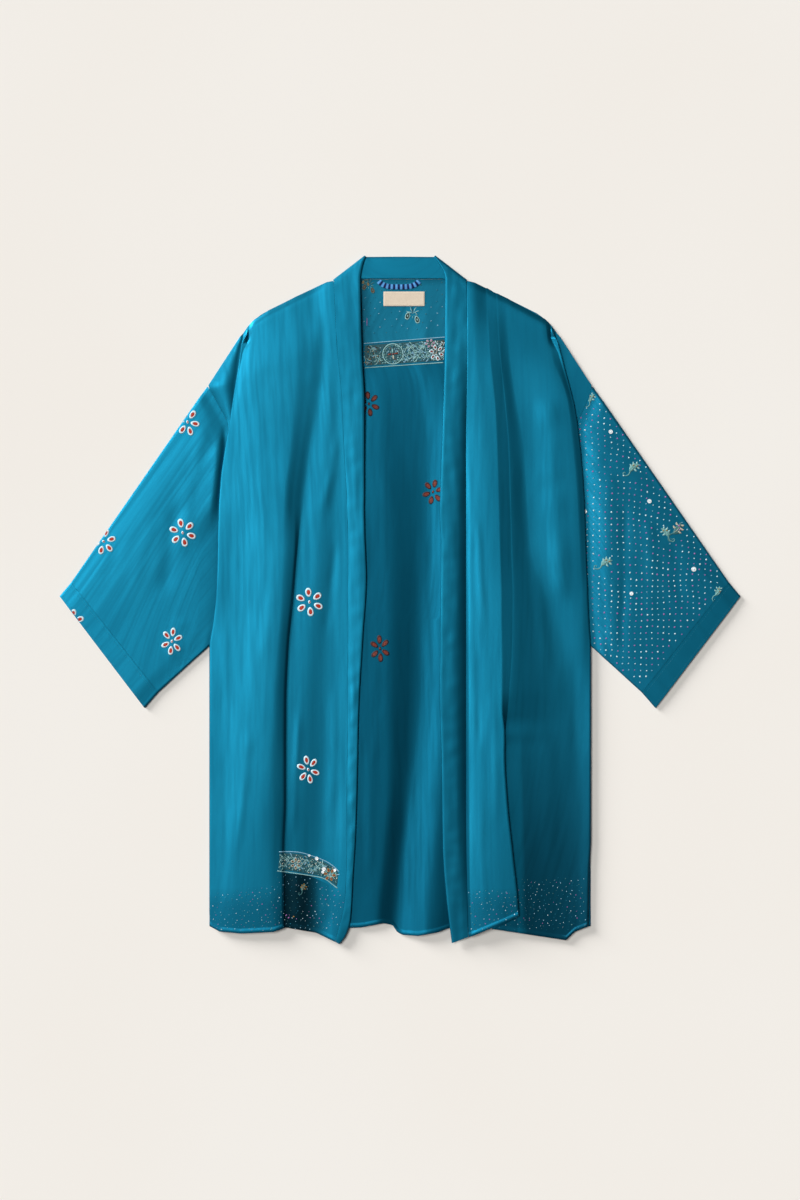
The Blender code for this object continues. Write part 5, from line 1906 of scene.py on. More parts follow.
class Sleeve:
    """A flattened tube from the armhole to the cuff, and the cuff band beyond it."""

    # Step down the armhole, step over the rise beside the side fold and where the rise ends
    ARMHOLE_STEP = 5
    RISE_STEP = 3.4
    RISE_END = 46
    # Steps from there to the cuff, steps across the cuff and points round each edge between the layers
    REACH_STEPS = 44
    CUFF_STEPS = 8
    EDGE_POINTS = 3
    # Crumple of the lower layer: its height and its size across and up the robe
    LOWER_CRUMPLE = (0.12, 30, 40)
    # No creases this near to the sleeve's edges, as a share, or to the armhole, and this share of them on the cuff
    EDGE_CALM = 0.05
    ARMHOLE_CALM = 30
    CUFF_CREASES = 0.7
    # The creases fade from this share of the way to the cuff on
    CUFF_CALM = 0.9

    def __init__(self, front: FrontPanel, profile: Table, creases: Creases,
                 finish: Finish) -> None:
        """Keep the armhole that the sleeve is sewn to, its profile and its cloth.

        Args:
            front: The front panel on its side.
            profile: Rows of distance from the armhole and height there.
            creases: Its creases.
            finish: The sleeve's cloth.
        """
        self.side = front.side
        self.creases = creases
        self.finish = finish
        self.by_shoulder, self.by_fold = columns(profile)
        self.calm = Track(CALM_SLEEVE)
        top, low = ARMHOLE_Y
        corners = [top, *(y for y, _, _ in LEFT_SIDE if low < y < top), low]
        heights = []
        for a, b in zip(corners, corners[1:]):
            steps = math.ceil((a - b) / self.ARMHOLE_STEP)
            heights += [mix(a, b, step / steps) for step in range(steps)]
        seam = [(front.side_seam(y) + HALF_GAP, y) for y in (*heights, low)]
        seam[0] = (seam[0][0], seam[0][1] - SLEEVE_EDGE_INSET)
        seam[-1] = (seam[-1][0], seam[-1][1] + SLEEVE_EDGE_INSET)
        lengths = running(seam)
        self.shares = [length / lengths[-1] for length in lengths]
        self.armhole = seam

    @staticmethod
    def line_point(top: Flat, low: Flat, share: float) -> Flat:
        """A point on a line across the sleeve, drawn in by the rounding of its edges."""
        inset = SLEEVE_EDGE_INSET / math.dist(top, low)
        share = mix(inset, 1 - inset, share)
        return mix_points(top, low, share)

    def layer_height(self, share: float, begun: float, distance: float) -> float:
        """Height of the upper layer, by where on the armhole its line began and how far off it is.

        Args:
            share: Share of the way down across the sleeve.
            begun: Height up the robe at which the line left the armhole.
            distance: How far the place is from the armhole.

        Returns:
            The height of the middle of the cloth.
        """
        beside = ramp(begun, *SHOULDER_TO_FOLD)
        inner = mix(self.by_shoulder.at(distance), self.by_fold.at(distance), beside)
        if self.side is Side.LEFT:
            inner = mix(inner, self.calm.at(distance), ramp(begun, *LEFT_FALL_ENDS))
        bulge = ease(min(share, 1 - share) / SLEEVE_EDGE_ROUNDING)
        return mix(min(SLEEVE_EDGE_HEIGHT, inner), inner, bulge)

    def loop(self, points: Sequence[Flat], distances: Sequence[float], calm: float) -> list[Point]:
        """Upper layer from the top edge down, and the lower layer back under it.

        Args:
            points: Line across the sleeve.
            distances: How far each of them is from the armhole.
            calm: Share of the creases that this line keeps.

        Returns:
            Points round the tube.
        """
        starts = [y for _, y in self.armhole]
        upper = []
        for (out, y), share, begun, distance in zip(points, self.shares, starts, distances):
            soft = calm * ease(min(share, 1 - share) / self.EDGE_CALM)
            height = self.layer_height(share, begun, distance)
            upper.append((out, y, height + soft * self.creases.height(self.side.value * out, y)))
        rise, wide, long = self.LOWER_CRUMPLE
        lower = [(out, y, LAID_FLAT + rise * noise.noise(Vector((out / wide, y / long, 4))))
                 for out, y in reversed(points)]
        return upper + self.turn(points[-2], upper[-1], 1) + lower + self.turn(points[1], upper[0], -1)

    def turn(self, inside: Flat, edge: Point, way: int) -> list[Point]:
        """Points round the edge between the two layers, downwards for a way of 1.

        Args:
            inside: The point before the edge.
            edge: The point at the edge of the upper layer.
            way: 1 downwards and -1 upwards.

        Returns:
            The points between the layers.
        """
        radius = (edge[2] - LAID_FLAT) / 2
        away = (edge[0] - inside[0], edge[1] - inside[1])
        size = math.hypot(*away)
        points = []
        for step in range(1, self.EDGE_POINTS + 1):
            angle = math.pi * step / (self.EDGE_POINTS + 1)
            reach = radius * math.sin(angle) / size
            height = LAID_FLAT + radius * (1 + way * math.cos(angle))
            points.append((edge[0] + away[0] * reach, edge[1] + away[1] * reach, height))
        return points

    def sleeve_rows(self) -> Rows:
        """The tube's grid on the right half of the robe."""
        ends = [self.line_point(*CUFF_SEAM, share) for share in self.shares]
        reaches = [math.dist(a, b) for a, b in zip(self.armhole, ends)]
        near = round(self.RISE_END / self.RISE_STEP)
        steps = [(self.RISE_END * i / near, 0) for i in range(near + 1)]
        steps += [(self.RISE_END, i / self.REACH_STEPS) for i in range(1, self.REACH_STEPS + 1)]
        rows = []
        for begin, part in steps:
            distances = [begin + (reach - SEAM_GAP - self.RISE_END) * part for reach in reaches]
            points = [mix_points(start, end, distance / reach)
                      for start, end, reach, distance in zip(self.armhole, ends, reaches, distances)]
            calm = ease(begin / self.ARMHOLE_CALM) * (1 - ease((part - self.CUFF_CALM) * 8))
            rows.append(self.loop(points, distances, calm))
        return rows

    def cuff_rows(self) -> Rows:
        """The cuff's grid on the right half of the robe."""
        rows = []
        for step in range(self.CUFF_STEPS + 1):
            part = step / self.CUFF_STEPS
            top, low = (mix_points(a, b, part) for a, b in zip(CUFF_SEAM, CUFF_END))
            points = [self.line_point(top, low, share) for share in self.shares]
            distances = [self.by_fold.places[-1]] * len(points)
            rows.append(self.loop(points, distances, self.CUFF_CREASES * math.sin(math.pi * part)))
        return rows

    def build(self) -> tuple[Piece, Piece]:
        """Make the sleeve and its cuff, each in place of its solid."""
        word = self.side.word
        slot = "dotted_silk" if self.side is Side.RIGHT else "teal_silk"
        sleeve = Cloth(f"sleeve_{word}_silk", on_side(self.side, self.sleeve_rows()), True)
        cuff = Cloth(f"cuff_{word}_silk", on_side(self.side, self.cuff_rows()), True)
        return sleeve.build(self.finish, f"sleeve_{word}", slot), cuff.build(BAND_SILK, f"cuff_{word}", "band_silk")


@dataclass
class HangingLoop:
    """The ribbon that hangs in a shallow curve from the back neck seam.

    Attributes:
        ends: Places across the robe of its two ends.
        top_y: Height up the robe of its ends.
        sag: How far its middle hangs below them.
        width: Width of the ribbon.
        wall: Thickness of the ribbon.
        height: Height of its middle over the surface.
        steps: Number of steps along it.
        cup: Height of its middle over its edges.
        waver: How far it wavers up and down along its length.
    """

    ends: Flat = (-31, 28)
    top_y: float = 461.8
    sag: float = 8.4
    width: float = 7.2
    wall: float = 0.8
    height: float = 1.9
    steps: int = 48
    cup: float = 0.35
    waver: float = 0.12

    def rows(self) -> Rows:
        """Rows across the ribbon, along its length."""
        middle, half = sum(self.ends) / 2, (self.ends[1] - self.ends[0]) / 2
        rows = []
        for step in range(self.steps + 1):
            part = 2 * step / self.steps - 1
            y = self.top_y - self.sag * (1 - part ** 4)
            turn = math.atan2(self.sag * 4 * part ** 3, half)
            row = []
            for edge in (-0.5, -0.3, -0.1, 0.1, 0.3, 0.5):
                reach = self.width * edge
                rise = self.cup * (1 - (2 * edge) ** 2) + self.waver * math.sin(step * 0.9)
                x = middle + half * part - math.sin(turn) * reach
                row.append((x, y + math.cos(turn) * reach, self.height + rise))
            rows.append(row)
        return rows

    def build(self) -> Piece:
        """Make the ribbon and put it in place of its solid."""
        return Cloth("loop_ribbon", self.rows(), wall=self.wall).build(RIBBON, "hanging_loop", "striped_ribbon")


@dataclass
class Label:
    """The small bare patch of cotton tape below the loop.

    Attributes:
        size: Width and height of the patch.
        centre: Its centre.
        height: Height of its middle over the surface.
        wall: Thickness of the tape.
        steps: Numbers of steps across it and down it.
        turned: Width over which its turned edge rises, and where it begins to sink again.
        puff: How far it rises, and how far it sinks again.
        crumple: Height of its crumple.
    """

    size: Flat = (59.3, 20.8)
    centre: Flat = (5.8, 436.1)
    height: float = 1.75
    wall: float = 0.7
    steps: tuple[int, int] = (36, 14)
    turned: Flat = (1.2, 1.6)
    puff: Flat = (0.4, 0.18)
    crumple: float = 0.12

    def rows(self) -> Rows:
        """Rows across the patch, from its top edge down, with edges turned under."""
        rows = []
        wide, high = self.steps
        for r in range(high + 1):
            row = []
            for c in range(wide + 1):
                u, v = c / wide - 0.5, 0.5 - r / high
                x, y = self.centre[0] + u * self.size[0], self.centre[1] + v * self.size[1]
                edge = min((0.5 - abs(u)) * self.size[0], (0.5 - abs(v)) * self.size[1])
                puff = self.puff[0] * ease(edge / self.turned[0]) - self.puff[1] * ease(edge - self.turned[1])
                row.append((x, y, self.height + puff + self.crumple * noise.noise(Vector((x / 14, y / 9, 6)))))
            rows.append(row)
        return rows

    def build(self) -> Piece:
        """Make the patch and put it in place of its solid."""
        return Cloth("label_tape", self.rows(), wall=self.wall).build(COTTON, "label", "label_cotton")


class Needlework:
    """Thread, dots and sequins worked into one piece of cloth, as one mesh."""

    def __init__(self, name: str, host: Piece, below: bool = False) -> None:
        """Start on a piece of cloth.

        Args:
            name: Name of the new piece.
            host: The cloth.
            below: Whether the work is on the side that lies down.
        """
        self.name = name
        self.host = host
        self.below = below
        mesh = host.data
        self.tree = BVHTree.FromPolygons([v.co for v in mesh.vertices], [p.vertices[:] for p in mesh.polygons])
        self.points: list[Point] = []
        self.faces: list[list[int]] = []
        self.maps: dict[int, Flat] = {}
        self.finishes: list[Finish | Thread] = []
        self.slots: list[int] = []

    def place(self, x: float, y: float, height: float, at: Flat) -> int | None:
        """Put a point on the cloth.

        Args:
            x: Place across the robe.
            y: Place up the robe.
            height: Height off the cloth.
            at: Its place on the map of threads.

        Returns:
            The point's number, or None where there is no cloth.
        """
        way = -1 if self.below else 1
        hit, _, _, _ = self.tree.ray_cast(Vector((x * MM, y * MM, 0.05 * way)), Vector((0, 0, -way)))
        if hit is None:
            return None
        self.points.append((x * MM, y * MM, hit.z + way * height * MM))
        self.maps[len(self.points) - 1] = (at[0] * MM, at[1] * MM)
        return len(self.points) - 1

    def face(self, corners: Sequence[int | None], finish: Finish | Thread) -> None:
        """Add a face, unless one of its corners is off the cloth.

        Args:
            corners: Numbers of its points, with None for one off the cloth.
            finish: Its finish.
        """
        if None in corners or len(set(corners)) < 3:
            return
        if finish not in self.finishes:
            self.finishes.append(finish)
        self.faces.append(list(corners))
        self.slots.append(self.finishes.index(finish))

    def dome(self, centre: Flat, radii: Flat, rings: Rings, turn: float = 0, segments: int = 8,
             taper: float = 0) -> None:
        """Work a raised round or oval patch.

        Args:
            centre: Its middle.
            radii: Half of its length and of its width.
            rings: Its rings, from the middle out.
            turn: Angle of its length from the X axis in degrees.
            segments: Number of points round it.
            taper: How much narrower its near end is than its far end.
        """
        cos, sin = math.cos(math.radians(turn)), math.sin(math.radians(turn))
        previous: list[int | None] = [self.place(*centre, rings[0][1], (0, 0))]
        for share, height, finish in rings[1:]:
            ring: list[int | None] = []
            for i in range(segments):
                angle = 2 * math.pi * i / segments
                along = radii[0] * share * math.cos(angle)
                across = radii[1] * share * math.sin(angle) * (1 + taper * math.cos(angle))
                x, y = centre[0] + along * cos - across * sin, centre[1] + along * sin + across * cos
                ring.append(self.place(x, y, height, (across, along)))
            for i in range(segments):
                j = (i + 1) % segments
                inner = [previous[0]] if len(previous) == 1 else [previous[j], previous[i]]
                self.face([ring[i], ring[j], *inner], finish)
            previous = ring
        self.face(previous[::-1], rings[-1][2])

    def stroke(self, spine: Sequence[Flat], widths: Sequence[float], finish: Finish | Thread,
               height: float = 0.4, step: float = 1.3) -> None:
        """Work a band of thread along a smooth line.

        Args:
            spine: Points that the line passes through.
            widths: Widths at even shares along it.
            finish: Its thread.
            height: Height of its middle off the cloth.
            step: Distance between its sections.
        """
        path = smooth_line(spine, step)
        lengths = running(path)
        total = lengths[-1] or 1
        even = [(i / (len(widths) - 1), width) for i, width in enumerate(widths)]
        sections = []
        for i, (x, y) in enumerate(path):
            before, after = path[max(i - 1, 0)], path[min(i + 1, len(path) - 1)]
            run, rise = after[0] - before[0], after[1] - before[1]
            size = math.hypot(run, rise) or 1
            half = max(straight(even, lengths[i] / total), 0.12) / 2
            lift = height * (1 if i % 2 else 0.86)
            section = []
            for across, part in ((-1, None), (-0.6, 0.75), (0, 1), (0.6, 0.75), (1, None)):
                level = UNDER_CLOTH if part is None else lift * part
                px, py = x - rise / size * half * across, y + run / size * half * across
                section.append(self.place(px, py, level, (lengths[i] / MM, half * across)))
            sections.append(section)
        for a, b in zip(sections, sections[1:]):
            for k in range(4):
                self.face([a[k], a[k + 1], b[k + 1], b[k]], finish)
            self.face([a[4], a[0], b[0], b[4]], finish)
        self.face(sections[0][::-1], finish)
        self.face(sections[-1], finish)

    def build(self) -> Piece | None:
        """Make the mesh and let it ride with the robe."""
        if not self.faces:
            return None
        used = sorted({i for corners in self.faces for i in corners})
        number = {old: new for new, old in enumerate(used)}
        faces = [[number[i] for i in corners] for corners in self.faces]
        maps = [self.maps[i] for corners in self.faces for i in corners]
        mesh = new_mesh(self.name, [self.points[i] for i in used], faces, maps)
        dress(mesh, self.finishes, self.slots)
        face_outwards(mesh)
        mesh.shade_smooth()
        piece = new_object(self.name, mesh)
        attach(piece, BODY)
        LOG.info("%s: %d faces of needlework", self.name, len(mesh.polygons))
        return piece


def smooth_line(points: Sequence[Flat], step: float) -> list[Flat]:
    """A smooth line through points, with a point at about every step.

    Args:
        points: What the line passes through.
        step: Distance between the new points.

    Returns:
        The line's points.
    """
    if len(points) == 2:
        count = max(1, round(math.dist(*points) / step))
        return [mix_points(*points, i / count) for i in range(count + 1)]
    line: list[Flat] = []
    ends = [points[0], *points, points[-1]]
    for a, b, c, d in zip(ends, ends[1:], ends[2:], ends[3:]):
        count = max(2, round(math.dist(b, c) / step))
        for i in range(count):
            t = i / count
            line.append(tuple(
                0.5 * (2 * b[k] + (c[k] - a[k]) * t + (2 * a[k] - 5 * b[k] + 4 * c[k] - d[k]) * t * t
                       + (3 * b[k] - a[k] - 3 * c[k] + d[k]) * t ** 3)
                for k in (0, 1)
            ))
    return [*line, tuple(points[-1])]


def place_along(line: Sequence[Flat], lengths: Sequence[float], reach: float) -> Flat:
    """Place at a distance along a line of points.

    Args:
        line: The points.
        lengths: How far along the line each of them is.
        reach: How far along it the place is.

    Returns:
        The place.
    """
    i = min(max(bisect_right(lengths, reach) - 1, 0), len(line) - 2)
    t = (reach - lengths[i]) / max(lengths[i + 1] - lengths[i], TINY)
    return mix_points(line[i], line[i + 1], t)


def polar(centre: Flat, radius: float, degrees: float) -> Flat:
    """A place at a distance and direction from another."""
    angle = math.radians(degrees)
    return centre[0] + radius * math.cos(angle), centre[1] + radius * math.sin(angle)


def beside(x: float, y: float, start: Flat, end: Flat) -> float:
    """How far a place is to the right of a line, times the line's length."""
    return (x - start[0]) * (end[1] - start[1]) - (y - start[1]) * (end[0] - start[0])


def knot(thread: Thread, top: float, side: float, share: float = 0.6) -> Rings:
    """Rings of a knot of one thread, by its height in the middle and at a share of its radius."""
    return (0, top, thread), (share, side, thread), (1, UNDER_CLOTH, thread)


class Work(Protocol):
    """Something that is sewn on cloth."""

    def work(self, cloth: Needlework) -> None:
        """Sew it."""


@dataclass(frozen=True)
class Blossom:
    """A flower of six petals round a small heart, in satin stitch.

    Attributes:
        centre: Its place on the robe.
        petal: Half the length of a petal.
        squeeze: Width of the flower over its height.
        turn: Angle of the first petal from straight up.
        ring: Thread round each petal.
        fill: Thread inside each petal.
        heart: Thread of the heart.
    """

    centre: Flat
    petal: float
    squeeze: float
    turn: float
    ring: Thread = Thread.WHITE
    fill: Thread = Thread.ORANGE
    heart: Thread = Thread.WHITE

    def work(self, cloth: Needlework) -> None:
        """Sew the petals and the heart.

        Args:
            cloth: What it is sewn on.
        """
        rings = (
            (0, 0.62, self.fill), (0.34, 0.6, self.fill), (0.56, 0.42, self.fill), (0.62, 0.52, self.ring),
            (0.84, 0.6, self.ring), (1, UNDER_CLOTH, self.ring),
        )
        for i in range(6):
            angle = 90 + self.turn - 60 * i
            x, y = polar((0, 0), 2 * self.petal, angle)
            pointed = math.degrees(math.atan2(y, x * self.squeeze))
            at = (self.centre[0] + x * self.squeeze, self.centre[1] + y)
            slim = mix(1, self.squeeze, 0.6)
            cloth.dome(at, (self.petal, 0.68 * self.petal * slim), rings, pointed, 16, 0.16)
        small = ((0, 0.75, self.fill), (0.45, 0.7, self.fill), (0.6, 0.6, self.heart), (1, UNDER_CLOTH, self.heart))
        cloth.dome(self.centre, (0.42 * self.petal, 0.3 * self.petal), small, 90 + self.turn, 12)


@dataclass(frozen=True)
class CurledLeaf:
    """A leaf with a curled tail and a frilled edge.

    Attributes:
        centre: Its place on the robe.
        length: Its length from tail to tip.
        turn: Direction of the tip from the X axis.
        curl: 1 or -1, the way that the tail curls.
        body: Thread of the leaf.
        edge: Thread of its outline.
        accent: Thread of its knots.
    """

    # Shares of the leaf's length, along and across it, and the lobes' turns from its direction
    SPINE = ((-0.12, 0), (0.05, 0.05), (0.25, 0.03), (0.46, -0.05))
    LOBES = ((0.1, 0.2, 70), (0.26, 0.2, 50), (0.4, 0.1, 25), (0.12, -0.14, -70), (0.3, -0.15, -48))
    VEIN = ((-0.05, 0), (0.15, 0.04), (0.38, 0))
    TAIL = ((-0.1, 0), (-0.24, -0.07), (-0.38, -0.05), (-0.47, 0.06), (-0.42, 0.15), (-0.34, 0.13), (-0.35, 0.06))

    centre: Flat
    length: float
    turn: float
    curl: float
    body: Thread = Thread.PALE_GREEN
    edge: Thread = Thread.MINT
    accent: Thread = Thread.GOLD

    def at(self, along: float, across: float) -> Flat:
        """Place of a point given in shares of the leaf's length."""
        x, y = polar(self.centre, along * self.length, self.turn)
        return polar((x, y), across * self.length * self.curl, self.turn + 90)

    def work(self, cloth: Needlework) -> None:
        """Sew the leaf, its lobes, its vein, its tail and two knots.

        Args:
            cloth: What it is sewn on.
        """
        size = self.length

        def sew(shares: Sequence[Flat], widths: Sequence[float], thread: Thread, height: float) -> None:
            """Sew a stroke through points given in shares of the leaf's length."""
            cloth.stroke([self.at(*share) for share in shares], widths, thread, height)

        sew(self.SPINE, [size * width for width in (0.08, 0.3, 0.34, 0.2, 0.03)], self.body, 0.5)
        for along, across, turn in self.LOBES:
            tip = polar(self.at(along, across), 0.07 * size, self.turn + self.curl * turn)
            cloth.stroke([self.at(along, across * 0.4), self.at(along, across), tip],
                         (0.06 * size, 0.12 * size, 0.03 * size), self.edge, 0.55)
        sew(self.VEIN, (0.8, 0.9, 0.5), self.edge, 0.85)
        sew(self.TAIL, [size * width for width in (0.07, 0.06, 0.05, 0.03)], self.body, 0.5)
        for along, across in ((0.2, 0.12), (0.3, -0.02)):
            rings = knot(self.accent, 0.95, 0.85, 0.7)
            cloth.dome(self.at(along, across), (0.05 * size, 0.04 * size), rings, self.turn)


@dataclass(frozen=True)
class Sprig:
    """Two hanging lobes on a short stem, outlined in dark thread.

    Attributes:
        centre: Its place on the robe.
        size: Its height.
        fill: Thread of the lobes.
        outline: Thread round them.
    """

    centre: Flat
    size: float
    fill: Thread = Thread.CREAM
    outline: Thread = Thread.DARK

    def work(self, cloth: Needlework) -> None:
        """Sew the stem, the two lobes and the small leaves above them.

        Args:
            cloth: What it is sewn on.
        """
        rings = (
            (0, 0.5, self.fill), (0.26, 0.5, self.fill), (0.4, 0.45, self.outline), (0.7, 0.45, self.outline),
            (0.76, 0.55, self.fill), (0.92, 0.5, self.fill), (1, UNDER_CLOTH, self.fill),
        )
        for sign, drop, reach in ((-1, -0.12, 0.26), (1, -0.3, 0.2)):
            x, y = self.centre[0] + sign * reach * self.size, self.centre[1] + drop * self.size
            cloth.dome((x, y), (0.2 * self.size, 0.12 * self.size), rings, 90 + 16 * sign, 14, -0.2)
            cloth.stroke([self.centre, ((self.centre[0] + x) / 2, self.centre[1] + 0.06 * self.size),
                          (x, y + 0.2 * self.size)], (0.8, 1.1, 0.7), self.fill, 0.5)
        top = (self.centre[0] - 0.06 * self.size, self.centre[1] + 0.34 * self.size)
        for turn in (60, 110, 160, 20):
            start = polar(self.centre, 0.08 * self.size, turn)
            cloth.stroke([start, polar(start, 0.14 * self.size, turn + 12), polar(start, 0.26 * self.size, turn)],
                         (0.5, 1.6, 0.4), self.fill, 0.5)
        cloth.stroke([self.centre, top], (0.8, 0.8), self.outline, 0.6)
        for turn in (-60, -100, -140, 190, -20):
            start = polar(self.centre, 0.12 * self.size, turn)
            cloth.stroke([start, polar(start, 0.14 * self.size, turn + 15)], (0.4, 1.4, 0.4), Thread.PALE_GREEN, 0.5)


@dataclass
class Strip:
    """An embroidered border strip between two lines: cords along its edges and a vine between.

    Attributes:
        upper: Points along its upper edge.
        lower: Points along its lower edge.
        vines: Arguments of each vine.
        fillings: Arguments of each filling.
        seed: Start of its order of small leaves.
        cords: Threads of its upper and lower cord.
        leaves: Threads of the small leaves, each as often as it is named.
    """

    upper: Sequence[Flat]
    lower: Sequence[Flat]
    vines: Sequence[tuple[float, ...]]
    fillings: Sequence[tuple[float, float, Sequence[Thread], int]]
    seed: int = 3
    cords: tuple[Thread, Thread] = (Thread.PALE_BLUE, Thread.MINT)
    leaves: tuple[Thread, ...] = (Thread.PALE_GREEN, Thread.MINT, Thread.MINT, Thread.PALE_BLUE, Thread.TEAL)

    def __post_init__(self) -> None:
        """Smooth the two edges and give them even steps."""
        self.lines = [smooth_line([from_pixel(*p) for p in edge], 1) for edge in (self.upper, self.lower)]
        self.lengths = [running(line) for line in self.lines]

    def at(self, along: float, down: float) -> Flat:
        """Place on the strip, by share along it and share down from its upper edge."""
        top, low = (place_along(line, lengths, along * lengths[-1]) for line, lengths in zip(self.lines, self.lengths))
        return mix_points(top, low, down)

    def work(self, cloth: Needlework) -> None:
        """Sew all of it.

        Args:
            cloth: What it is sewn on.
        """
        self.ground(cloth)
        self.edges(cloth)
        for vine in self.vines:
            self.vine(cloth, *vine)
        for filling in self.fillings:
            self.filling(cloth, *filling)

    def edges(self, cloth: Needlework) -> None:
        """Sew the cords along the two edges."""
        for down, thread in zip((0, 1), self.cords):
            cloth.stroke([self.at(i / 10, down) for i in range(11)], (1.6, 1.3, 1.6), thread, 0.6, 1.6)

    def ground(self, cloth: Needlework) -> None:
        """Sew the close dark ground between the two cords.

        Args:
            cloth: What it is sewn on.
        """
        count, deep = round(self.lengths[0][-1] / MM / 2.5), 8
        grid = []
        for i in range(count + 1):
            column = []
            for j in range(deep + 1):
                along, down = i / count, mix(0.03, 0.97, j / deep)
                height = UNDER_CLOTH if i in (0, count) or j in (0, deep) else 0.16
                at = (along * self.lengths[0][-1] / MM, down * 30)
                column.append(cloth.place(*self.at(along, down), height, at))
            grid.append(column)
        for a, b in zip(grid, grid[1:]):
            for j in range(deep):
                cloth.face([a[j], a[j + 1], b[j + 1], b[j]], WORKED_GROUND)

    def vine(self, cloth: Needlework, start: float, end: float, waves: int, reach: float = 0.26,
             swing: float = 1) -> None:
        """Sew a waving stem with small leaves on both sides.

        Args:
            cloth: What it is sewn on.
            start: Share along the strip where it begins.
            end: Share along the strip where it ends.
            waves: Number of bends.
            reach: How far it swings, as a share of the strip's depth.
            swing: 1 or -1, the way of its first bend.
        """
        dice = Random(self.seed)
        count = waves * 4
        stem = []
        for i in range(count + 1):
            part = i / count
            stem.append(self.at(mix(start, end, part), 0.5 + swing * reach * math.sin(math.pi * waves * part)))
        cloth.stroke(stem, (1, 0.9, 1), Thread.MINT, 0.55)
        for i in range(1, count):
            before, here = stem[i - 1], stem[i]
            heading = math.degrees(math.atan2(here[1] - before[1], here[0] - before[0]))
            for sign in (-1, 1):
                turn = heading + sign * (52 + dice.uniform(-14, 14))
                size = dice.uniform(3.6, 5.8)
                thread = self.leaves[dice.randrange(len(self.leaves))]
                base = polar(here, 0.6, turn)
                cloth.stroke([base, polar(base, size * 0.5, turn + 10 * sign), polar(base, size, turn + 24 * sign)],
                             (0.4, 1.9, 1.5, 0.3), thread, 0.5, 1)

    def filling(self, cloth: Needlework, start: float, end: float, threads: Sequence[Thread], count: int) -> None:
        """Sew small seed stitches and knots all over a stretch of the strip.

        Args:
            cloth: What it is sewn on.
            start: Share along the strip where the stretch begins.
            end: Share along the strip where it ends.
            threads: Its threads.
            count: Number of stitches.
        """
        dice = Random(self.seed + 7)
        for _ in range(count):
            at = self.at(dice.uniform(start, end), dice.uniform(0.12, 0.88))
            thread = threads[dice.randrange(len(threads))]
            size = dice.uniform(0.45, 0.95)
            cloth.dome(at, (size * 1.9, size), knot(thread, 0.55, 0.45), dice.uniform(0, 180), 6)


@dataclass(frozen=True)
class Medallion:
    """A ring of cord round a small four-petalled flower.

    Attributes:
        centre: Its place on the robe.
        radius: Radius of the ring.
    """

    centre: Flat
    radius: float

    def work(self, cloth: Needlework) -> None:
        """Sew the ring, the flower and the sprays beside it.

        Args:
            cloth: What it is sewn on.
        """
        for share, thread, width in ((1, Thread.MINT, 1.8), (0.82, Thread.PALE_GREEN, 0.9)):
            ring = [polar(self.centre, self.radius * share, 20 * i) for i in range(19)]
            cloth.stroke(ring, (width, width), thread, 0.55)
        for i in range(4):
            at = polar(self.centre, 0.33 * self.radius, 90 * i + 8)
            thread = (Thread.RUST, Thread.MINT, Thread.RUST, Thread.CREAM)[i]
            cloth.dome(at, (0.26 * self.radius, 0.1 * self.radius), knot(thread, 0.6, 0.55), 90 * i + 8, 12)
        cloth.dome(self.centre, (0.11 * self.radius, 0.11 * self.radius), knot(Thread.RUST, 0.8, 0.7))
        for i in range(8):
            start = polar(self.centre, 0.52 * self.radius, 45 * i + 22)
            cloth.stroke([start, polar(start, 0.2 * self.radius, 45 * i + 40)], (0.7, 1.6, 0.4),
                         Thread.GREY_GREEN if i % 2 else Thread.RUST, 0.5, 0.9)


@dataclass
class DotField:
    """Small round spots of thread in wavering rows.

    Attributes:
        inside: Whether a place is in the field.
        box: Left, bottom, right and top of the field.
        seed: Start of the order of colours and sizes.
        threads: Colours, each as often as it is named. The first half and the second half take turns.
        spacing: Distance from spot to spot and from row to row.
        radius: Smallest and largest radius of a spot.
        skew: Rise of the rows from left to right, at the bottom and at the top of the field.
        scatter: How far a spot may lie off its row.
        stagger: Shift of every other row, as a share of the distance from spot to spot.
        keep_off: Middle and radius of the places without spots.
    """

    inside: Callable[[float, float], bool]
    box: tuple[float, float, float, float]
    seed: int
    threads: tuple[Thread, ...] = (
        Thread.WHITE, Thread.WHITE, Thread.PALE_BLUE, Thread.PINK, Thread.PINK, Thread.WHITE,
    )
    spacing: Flat = (8.5, 9.5)
    radius: Flat = (0.95, 1.5)
    skew: Flat = (0, 0)
    scatter: float = 0.7
    stagger: float = 0.5
    keep_off: Sequence[tuple[float, float, float]] = ()

    def work(self, cloth: Needlework) -> None:
        """Sew the spots.

        Args:
            cloth: What it is sewn on.
        """
        dice = Random(self.seed)
        left, bottom, right, top = self.box
        step, row_step = self.spacing
        half = len(self.threads) // 2
        for r in range(int((top - bottom) / row_step) + 1):
            shift = self.stagger * step * (r % 2)
            for c in range(int((right - left) / step) + 1):
                x = left + shift + c * step
                y = top - r * row_step
                y += mix(*self.skew, (y - bottom) / (top - bottom)) * (x - left)
                sway = 4 * noise.noise(Vector((x / 60, y / 45, self.seed)))
                x += sway + dice.uniform(-self.scatter, self.scatter)
                sway = 7 * noise.noise(Vector((x / 75, y / 60, self.seed + 4)))
                y += sway + dice.uniform(-self.scatter, self.scatter)
                thread = self.threads[(r + c) % 2 * half + dice.randrange(half)]
                radius = mix(*self.radius, dice.random() ** 1.6)
                if not self.inside(x, y) or any(math.dist((x, y), (a, b)) < far for a, b, far in self.keep_off):
                    continue
                radii = (radius, radius * dice.uniform(0.82, 1))
                cloth.dome((x, y), radii, knot(thread, 0.55, 0.46, 0.62), dice.uniform(0, 90))


